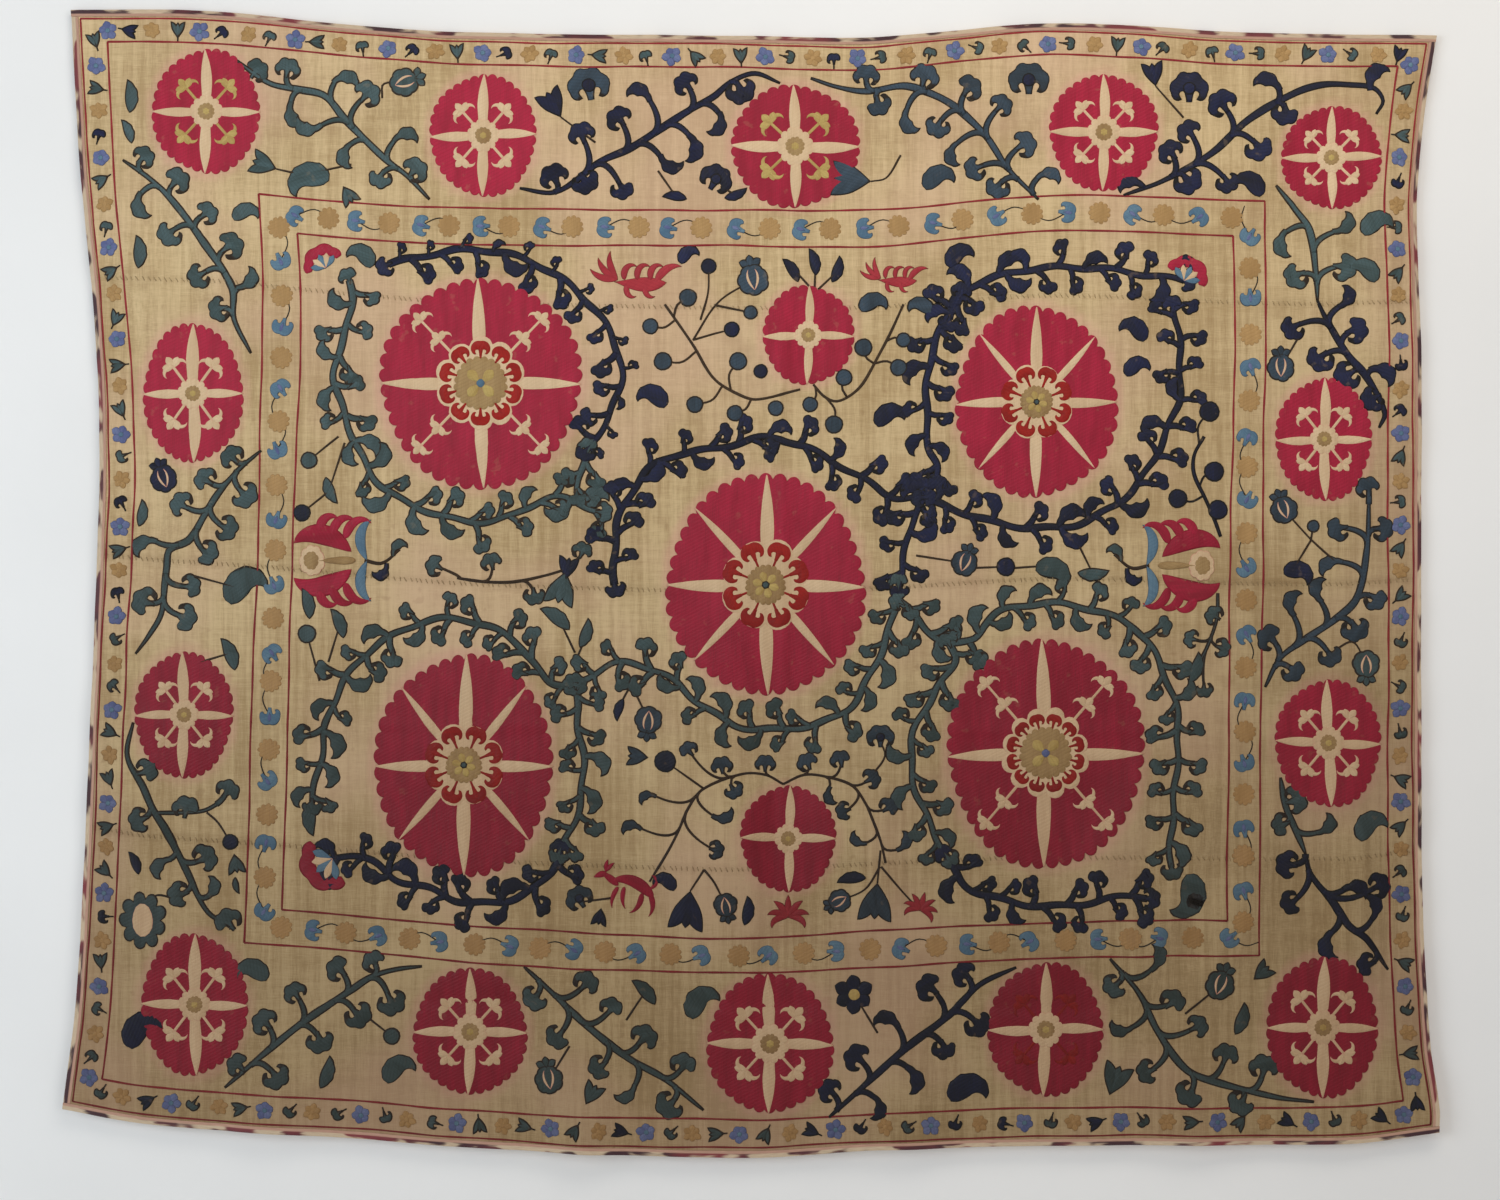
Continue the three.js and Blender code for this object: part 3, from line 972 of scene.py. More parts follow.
@dataclass(frozen=True)
class Medallion:
    """One crimson rosette with ivory rays and a worked heart."""

    centre: Place
    across: float
    tall: float
    rays: int = 4
    lobes: int = 0
    fleurs: int = 1
    scallops: int = 34
    dot: Thread = YELLOW
    spray: Thread = IVORY
    ring: float = 11.0

    def rim(self, angle: float) -> complex:
        """Gives the arm from the centre to the rim at an angle in degrees."""
        way = facing(angle)
        return complex(self.across * way.real, self.tall * way.imag)

    def build(self, needle: Needle) -> None:
        """Works the rosette, its rays, its fleurs and its heart."""
        centre = spot(self.centre)
        tall = self.tall / self.across
        needle.disc(CRIMSON, centre, self.across, 0.9, self.scallops, 0.055, tall, self.ring)
        hub = (0.45 if self.lobes else 0.3) * min(self.across, self.tall)
        for step in range(self.rays):
            angle = 90.0 + 360.0 * step / self.rays + needle.any(-2.5, 2.5)
            main = step * 4 % self.rays == 0
            self.ray(needle, centre, self.rim(angle), 1.0 if main else 0.66)
        for step in range(4 if self.fleurs else 0):
            self.fleur(needle, centre, 45.0 + 90.0 * step, hub)
        if self.lobes:
            self.lobed_heart(needle, centre, hub)
        else:
            self.plain_heart(needle, centre, hub)

    def ray(self, needle: Needle, centre: complex, arm: complex, share: float) -> None:
        """Works one ivory ray, widest towards the heart and pointed at the rim.

        Args:
            needle: the needle.
            centre: the rosette's centre.
            arm: the arm from the centre to the rim.
            share: its width as a share of a main ray's.
        """
        wide = (0.165 if self.lobes else 0.235) * abs(arm) * share
        along = np.linspace(0.12, 0.985, 22)
        stations = np.array([0.0, 0.35, 0.5, 0.72, 0.9, 1.0])
        shape = np.array([0.66, 0.9, 1.0, 0.78, 0.34, 0.05])
        half = np.maximum(0.5 * wide * hermite(stations, shape, along), 0.5)
        sway = 1j * arm / abs(arm) * needle.any(-2.0, 2.0) * np.sin(math.pi * along)
        needle.skeins[IVORY].ribbon(centre + arm * along + sway, half, half, 1.3, 1j)

    def fleur(self, needle: Needle, centre: complex, angle: float, hub: float) -> None:
        """Works the hooked sprays on one diagonal.

        Args:
            needle: the needle.
            centre: the rosette's centre.
            angle: the diagonal's angle in degrees.
            hub: radius of the heart.
        """
        arm = self.rim(angle)
        way = arm / abs(arm)
        size = (0.38 if self.fleurs == 1 else 0.21) * abs(arm)
        spaced = (0.55,) if self.fleurs == 1 else (0.58, 0.84)
        reach = centre + way * abs(arm) * spaced[-1]
        stalk = np.array([centre + way * hub * 0.9, (centre + way * hub + reach) / 2, reach])
        needle.stem(self.spray, stalk, 2.9, 2.7, 1.3)
        for share in spaced:
            base = centre + way * abs(arm) * share
            for turn, length in ((-56.0, 0.5), (56.0, 0.5), (0.0, 0.56)):
                low = base - way * 0.1 * size
                aim = way * facing(turn)
                needle.petal(self.spray, low, aim, length * size, 0.42 * size, 0.0, 0.6, height=1.4)
            for turn in (-1.0, 1.0):
                aim = way * facing(72.0 * turn)
                curl = 145.0 * turn
                needle.petal(self.spray, base, aim, 0.78 * size, 0.24 * size, curl, 0.35, height=1.35)

    def plain_heart(self, needle: Needle, centre: complex, hub: float) -> None:
        """Works an ivory ring with a gold disc."""
        needle.disc(IVORY, centre, hub, 1.5, 12, 0.14, 1.05)
        needle.disc(GOLD, centre, 0.56 * hub, 1.75, 12, 0.14)
        needle.disc(YELLOW, centre, 0.24 * hub, 2.0, 6, 0.2)

    def lobed_heart(self, needle: Needle, centre: complex, hub: float) -> None:
        """Works a lobed ivory ring of scarlet palmettes round a gold disc."""
        needle.disc(IVORY, centre, hub, 1.5, self.lobes, 0.15, 1.04, 8.0)
        size = 1.62 * hub * math.sin(math.pi / self.lobes)
        gold = 0.6 if self.lobes > 8 else 0.46
        for step in range(self.lobes):
            way = facing(360.0 * (step + 0.5) / self.lobes)
            stalk = centre + way * hub * np.array([gold - 0.06, 0.64, 0.7])
            needle.stem(SCARLET, stalk, 2.2, 2.6, 2.05)
            base = centre + way * hub * 0.7
            needle.fan_leaf(SCARLET, base, way, size * 0.98, 122.0, 122.0, 3, 2.1)
        needle.disc(GOLD, centre, gold * hub, 2.2, 20, 0.1)
        petals = 4 if self.lobes > 8 else 6
        eye = gold * hub
        for step in range(petals):
            way = facing(45.0 + 360.0 * step / petals)
            needle.petal(YELLOW, centre, way, 0.66 * eye, 0.5 * eye, 0.0, 0.66, height=2.95)
        needle.disc(self.dot, centre, 0.1 * hub, 3.1)


@dataclass(frozen=True)
class Vine:
    """A thick field vine with comma leaves on both sides."""

    thread: Thread
    points: tuple[Place, ...]
    pitch: float = 48.0
    leaf: float = 39.0
    thick: float = 7.0
    thin: float = 6.0
    left_share: float = 1.0
    sway: float = 2.6
    sway_pitches: float = 1.9

    def build(self, needle: Needle) -> None:
        """Works the stem and its leaves, in uneven pairs."""
        line = smooth_line(spots(*self.points), VINE_STEP)
        reach = distances(line)
        swing = self.sway * np.sin(reach * math.tau / (self.sway_pitches * self.pitch))
        line = line + 1j * directions(line) * swing
        needle.stem(self.thread, line, self.thick, self.thin)
        growth = directions(line)
        for end, way in ((line[0], -growth[0]), (line[-1], growth[-1])):
            hooks = (needle.any(100.0, 140.0), needle.any(60.0, 120.0))
            needle.fan_leaf(self.thread, end, way, self.leaf, *hooks, 6)
        for side, at in ((1.0, 0.35 * self.pitch), (-1.0, 0.75 * self.pitch)):
            while at < reach[-1] - 4.0:
                near = int(np.searchsorted(reach, at))
                size = self.leaf * needle.any(0.88, 1.14) * (self.left_share if side > 0.0 else 1.0)
                needle.hooked_leaf(self.thread, line[near], growth[near], side, size)
                at += self.pitch * needle.any(0.86, 1.16)


@dataclass(frozen=True)
class Spray:
    """A stem with umbrella leaves at chosen spots."""

    thread: Thread
    points: tuple[Place, ...]
    heads: tuple[Place, ...]
    width: float = 47.0
    thin: float = 2.4
    swell: float = 4.6
    stalk_half: float = 5.0
    stalk: Thread | None = None
    berries: bool = False

    def build(self, needle: Needle) -> None:
        """Works the stem, then each leaf or berry on its stalk."""
        stalk = self.stalk or self.thread
        points = spots(*self.points)
        needle.stem(stalk, points, self.thin, self.thin, 0.9, self.swell)
        line = smooth_line(points, SPRAY_STEP)
        for head in self.heads:
            if self.berries:
                root = line[max(0, int(np.argmin(np.abs(line - spot(head)))) - 3)]
                bend = 0.5 * (root + spot(head)) + 0.18j * (spot(head) - root)
                needle.stem(stalk, np.array([root, bend, spot(head)]), 2.0, 1.7)
                needle.disc(self.thread, spot(head), 0.52 * self.width * needle.any(0.9, 1.1), 1.1)
                continue
            width = self.width * needle.any(0.9, 1.12)
            needle.stalked_head(self.thread, stalk, line, spot(head), width, self.stalk_half)


class Kind(Enum):
    """Single motifs that fill the gaps between the sprays."""

    PAISLEY = "paisley"
    BELL = "bell"
    POMEGRANATE = "pomegranate"
    BERRY = "berry"
    FAN = "fan"
    LEAF = "leaf"
    RING = "ring"
    BLOOM = "bloom"
    CARNATION = "carnation"


PAISLEY, BELL, POMEGRANATE, BERRY, FAN, LEAF, RING, BLOOM, CARNATION = Kind


@dataclass(frozen=True)
class Filler:
    """One single motif, with the way it faces in degrees."""

    kind: Kind
    thread: Thread
    place: Place
    way: float = 90.0
    size: float = 46.0
    stem: tuple[Place, ...] = ()

    def build(self, needle: Needle) -> None:
        """Works the motif and its thin stem."""
        at = spot(self.place)
        way = facing(self.way)
        size = self.size * FILLER_SCALE
        if self.stem:
            needle.stem(BROWN, np.append(spots(*self.stem), at), 1.9, 1.5)
        if self.kind is PAISLEY:
            curl = 165.0 if math.cos(math.radians(self.way)) < 0.0 else -165.0
            needle.petal(self.thread, at - way * size * 0.4, way, size * 1.25, size * 0.62, curl, 0.36, 6)
        elif self.kind is BELL:
            needle.tulip(self.thread, at, way, size)
        elif self.kind is POMEGRANATE:
            needle.pomegranate(self.thread, at, way, size * 0.42)
        elif self.kind is BERRY:
            needle.disc(self.thread, at, size * 0.5, 1.1)
        elif self.kind is FAN:
            needle.fan_leaf(self.thread, at, way, size * 1.2, 128.0, 128.0, 7)
            needle.disc(NAVY, at + way * size * 0.16, size * 0.2, 1.4)
        elif self.kind is LEAF:
            needle.petal(self.thread, at - way * size * 0.5, way, size, size * 0.42, 40.0, 0.45, 4)
        elif self.kind is RING:
            needle.disc(self.thread, at, size * 0.55, 1.0, 9, 0.24, 1.2)
            needle.disc(IVORY, at, size * 0.24, 1.4, 0, 0.0, 1.6)
        elif self.kind is CARNATION:
            for turn in (-84.0, -56.0, -28.0, 0.0, 28.0, 56.0, 84.0):
                needle.petal(self.thread, at, way * facing(turn), 0.6 * size, 0.2 * size, 1.3 * turn, 0.5)
        else:
            needle.flower(self.thread, YELLOW, at, size * 0.5, 6, self.way)


@dataclass(frozen=True)
class Figure:
    """A motif worked from its proportions, as shares of its size ahead of and above its centre."""

    centre: Place
    size: float
    looks: float

    def part(self, ahead: float, up: float) -> complex:
        """Gives a point at shares ahead of and above the centre."""
        return spot(self.centre) + self.size * complex(self.looks * ahead, up)

    def limb(self, needle: Needle, thread: Thread, root: Place, angle: float, length: float, width: float,
             curl: float = 0.0, full: float = 0.45) -> None:
        """Works one petal or limb.

        Args:
            needle: the needle.
            thread: the thread.
            root: where it starts, as shares.
            angle: degrees up from straight ahead.
            length: its length as a share.
            width: its width as a share.
            curl: degrees that it turns upwards by its tip.
            full: share along it where it is widest.
        """
        heading = facing(angle)
        heading = complex(self.looks * heading.real, heading.imag)
        long, wide = length * self.size, width * self.size
        needle.petal(thread, self.part(*root), heading, long, wide, self.looks * curl, full)


@dataclass(frozen=True)
class SideFlower(Figure):
    """A large flower seen from the side, which opens towards the nearer edge."""

    def build(self, needle: Needle) -> None:
        """Works the petals, eye, sepals and stalk."""
        for up in (1.0, -1.0):
            self.limb(needle, CRIMSON, (-0.5, 0.2 * up), 42.0 * up, 1.5, 0.5, -95.0 * up, 0.5)
            for step in range(3):
                root = (-0.36 + 0.3 * step, (0.5 + 0.1 * step) * up)
                length = 0.86 - 0.12 * step
                self.limb(needle, CRIMSON, root, 104.0 * up, length, 0.24, 130.0 * up, 0.32)
            self.limb(needle, SKY, (-0.86, 0.0), 62.0 * up, 1.05, 0.26, 95.0 * up, 0.5)
        needle.disc(IVORY, self.part(0.4, 0.0), 0.3 * self.size, 1.3, 9, 0.1, 1.2)
        needle.disc(GOLD, self.part(0.42, 0.0), 0.19 * self.size, 1.6, 8, 0.12, 1.2)
        long, wide = 0.85 * self.size, 0.2 * self.size
        needle.petal(GOLD, self.part(-0.6, 0.0), complex(self.looks), long, wide, 0.0, 0.3, height=1.5)
        stalk = np.array([self.part(-0.8, 0.0), self.part(-1.2, -0.06), self.part(-1.6, 0.25)])
        needle.stem(BROWN, stalk, 3.2, 2.4)
        needle.comma(NAVY, self.part(-1.3, -0.06), -1j, 0.42 * self.size, 170.0 * self.looks)
        needle.comma(GREEN, self.part(-1.45, 0.1), 1j, 0.42 * self.size, 170.0 * self.looks)


@dataclass(frozen=True)
class CornerFan:
    """A crimson fan flower with pale blue sepals in a corner of the field."""

    centre: Place
    way: float
    size: float = 46.0

    def build(self, needle: Needle) -> None:
        """Works the fan of petals and the sepals under it."""
        at = spot(self.centre)
        way = facing(self.way)
        turn = np.linspace(-84.0, 84.0, 40)
        rim = at + way * 0.78 * self.size * np.exp(1j * np.radians(turn))
        inner = 0.26 * self.size * np.sqrt(1.0 - (turn / 88.0) ** 4)
        outer = inner + 0.1 * self.size * np.abs(np.sin(np.radians(turn) * 3.6))
        needle.skeins[CRIMSON].ribbon(rim, inner, outer, 1.1, way)
        for step, thread in enumerate((SKY, IVORY, SKY, IVORY, SKY)):
            fan = way * facing(30.0 * step - 60.0)
            base = at - way * 0.1 * self.size
            needle.petal(thread, base, fan, 0.74 * self.size, 0.34 * self.size, 0.0, 0.62, height=1.4)


@dataclass(frozen=True)
class Bird(Figure):
    """A small long-tailed bird with curled feathers."""

    def build(self, needle: Needle) -> None:
        """Works the body, neck, tail and feathers."""
        limbs = [
            ((-0.24, -0.08), -8.0, 0.56, 0.17, 20.0, 0.6),
            ((0.2, -0.09), 62.0, 0.36, 0.1, -85.0, 0.4),
        ]
        for step in range(3):
            limbs.append(((-0.2, -0.06), 124.0 + 27.0 * step, 0.33, 0.08, -55.0))
            limbs.append(((-0.13 + 0.14 * step, -0.06), 98.0, 0.26, 0.08, -150.0, 0.35))
        for step in range(2):
            limbs.append(((-0.1 + 0.2 * step, -0.1), -104.0, 0.22, 0.07, 145.0, 0.35))
        for limb in limbs:
            self.limb(needle, CORAL, *limb)


@dataclass(frozen=True)
class Hare(Figure):
    """A small leaping animal."""

    def build(self, needle: Needle) -> None:
        """Works the arched body, head, ears, legs and tail."""
        limbs = [
            ((-0.4, -0.14), 50.0, 0.8, 0.21, -84.0, 0.4),
            ((0.16, 0.06), 44.0, 0.34, 0.13, -20.0, 0.4),
            ((0.34, 0.26), -12.0, 0.22, 0.11, -16.0, 0.4),
            ((-0.34, 0.0), 150.0, 0.3, 0.08, -150.0),
        ]
        for step in range(2):
            limbs.append(((0.36, 0.28), 92.0 + 34.0 * step, 0.2, 0.07, 25.0))
            limbs.append(((-0.34 + 0.12 * step, -0.06), -112.0 + 30.0 * step, 0.4, 0.1, 70.0, 0.3))
            limbs.append(((0.06 + 0.1 * step, 0.04), -74.0 + 18.0 * step, 0.36, 0.085, -50.0, 0.3))
        for limb in limbs:
            self.limb(needle, CRIMSON, *limb)


@dataclass(frozen=True)
class Side:
    """One side of a rectangle on the flat cloth, drawn off its straight line near its two corners."""

    start: complex
    end: complex
    first: complex
    last: complex
    fade: float = 0.4

    def at(self, share: np.ndarray) -> Line:
        """Gives flat places at shares along the side."""
        straight = self.start + (self.end - self.start) * share
        early = 1.0 - ease(share / self.fade)
        late = 1.0 - ease((1.0 - share) / self.fade)
        return straight + self.first * early + self.last * late


@dataclass(frozen=True)
class Inset:
    """A rectangle on the flat cloth: distances in from its edges, and how far its corners are drawn."""

    left: float
    top: float
    right: float
    bottom: float
    drawn: tuple[complex, ...] = (0j, 0j, 0j, 0j)

    def sides(self, cloth: HungCloth) -> list[Side]:
        """Gives the rectangle's sides, clockwise from the top left."""
        left, right = self.left, cloth.width - self.right
        top, bottom = self.top, cloth.height - self.bottom
        corners = [complex(left, top), complex(right, top), complex(right, bottom), complex(left, bottom)]
        ends = [(k, (k + 1) % 4) for k in range(4)]
        return [Side(corners[a], corners[b], self.drawn[a], self.drawn[b]) for a, b in ends]


@dataclass(frozen=True)
class RedLine:
    """A fine red chain-stitched line round the cloth."""

    inset: Inset
    half: float = 1.7

    def build(self, needle: Needle) -> None:
        """Works the line's four sides, a little unsteady."""
        for side in self.inset.sides(needle.cloth):
            run = side.end - side.start
            share = np.linspace(0.0, 1.0, int(abs(run) / LINE_STEP))
            reach = share * abs(run)
            phase = needle.any(0.0, 6.0)
            sway = 1.3 * np.sin(reach * 0.011 + phase) + 0.6 * np.sin(reach * 0.037 - phase)
            flat = side.at(share) + 1j * run / abs(run) * sway * np.sin(math.pi * share)
            half = self.half * (1.0 + 0.15 * np.sin(reach * 0.09 + phase))
            needle.skeins[LINE].ribbon(needle.cloth.on_wall(flat.real, flat.imag), half, half, 0.7)


@dataclass(frozen=True)
class GuardBand:
    """A narrow band of small repeated motifs between two red lines."""

    inset: Inset
    pitch: float
    size: float
    outer: bool

    def build(self, needle: Needle) -> None:
        """Works the band's motifs along its four sides."""
        for side in self.inset.sides(needle.cloth):
            length = abs(side.end - side.start)
            count = round(length / self.pitch)
            for step in range(count):
                share = (step + 0.5 + needle.any(-0.08, 0.08)) / count
                flat = complex(side.at(share))
                ahead = complex(side.at(share + 1.0 / length))
                here = complex(needle.cloth.on_wall(flat.real, flat.imag))
                along = complex(needle.cloth.on_wall(ahead.real, ahead.imag)) - here
                along = along / abs(along)
                if self.outer:
                    self.outer_motif(needle, here, along, step)
                else:
                    self.inner_motif(needle, here, along, step)

    def outer_motif(self, needle: Needle, here: complex, along: complex, step: int) -> None:
        """Works a bell between small flowers, in turn."""
        inward = -1j * along
        if step % 2:
            thread = GREEN if needle.rng.random() < 0.75 else NAVY
            way = (along if step % 4 == 1 else -inward) * facing(needle.any(-50, 50))
            needle.stem(thread, here - way * self.size * np.array([0.55, 0.3, 0.0]), 1.3, 1.6)
            if needle.rng.random() < 0.5:
                needle.tulip(thread, here - way * self.size * 0.4, way, self.size * 0.95)
            else:
                base = here - way * self.size * 0.15
                needle.fan_leaf(thread, base, way, self.size * 0.86, 120.0, 80.0, 4)
        elif step % 4 == 0:
            needle.flower(VIOLET, SKY, here, self.size * 0.5, 5, needle.any(0, 70))
        else:
            needle.flower(TAN, TAN, here, self.size * 0.46, 6, needle.any(0, 60))

    def inner_motif(self, needle: Needle, here: complex, along: complex, step: int) -> None:
        """Works a tan rosette or a blue half-flower on a curled stem, in turn."""
        inward = -1j * along
        if step % 2:
            needle.disc(TAN, here, self.size * 0.46, 0.8, 11, 0.2)
            return
        way = along if needle.rng.random() < 0.3 else -along
        up = way * facing(needle.any(-40.0, 40.0))
        side = inward if needle.rng.random() < 0.5 else -inward
        back = here - way * self.size * 0.72 - side * self.size * 0.3
        curl = [here - way * self.size * 1.25 - side * self.size * 0.16, back, here - up * 2.0]
        needle.stem(SLATE, np.array(curl), 0.8, 1.2, 0.7)
        base = here - up * self.size * 0.2
        needle.fan_leaf(SKY, base, up, self.size * 0.98, 118.0, 96.0, 4)
        needle.petal(VIOLET, base, up, self.size * 0.36, self.size * 0.2, 0.0, 0.6, height=1.3)


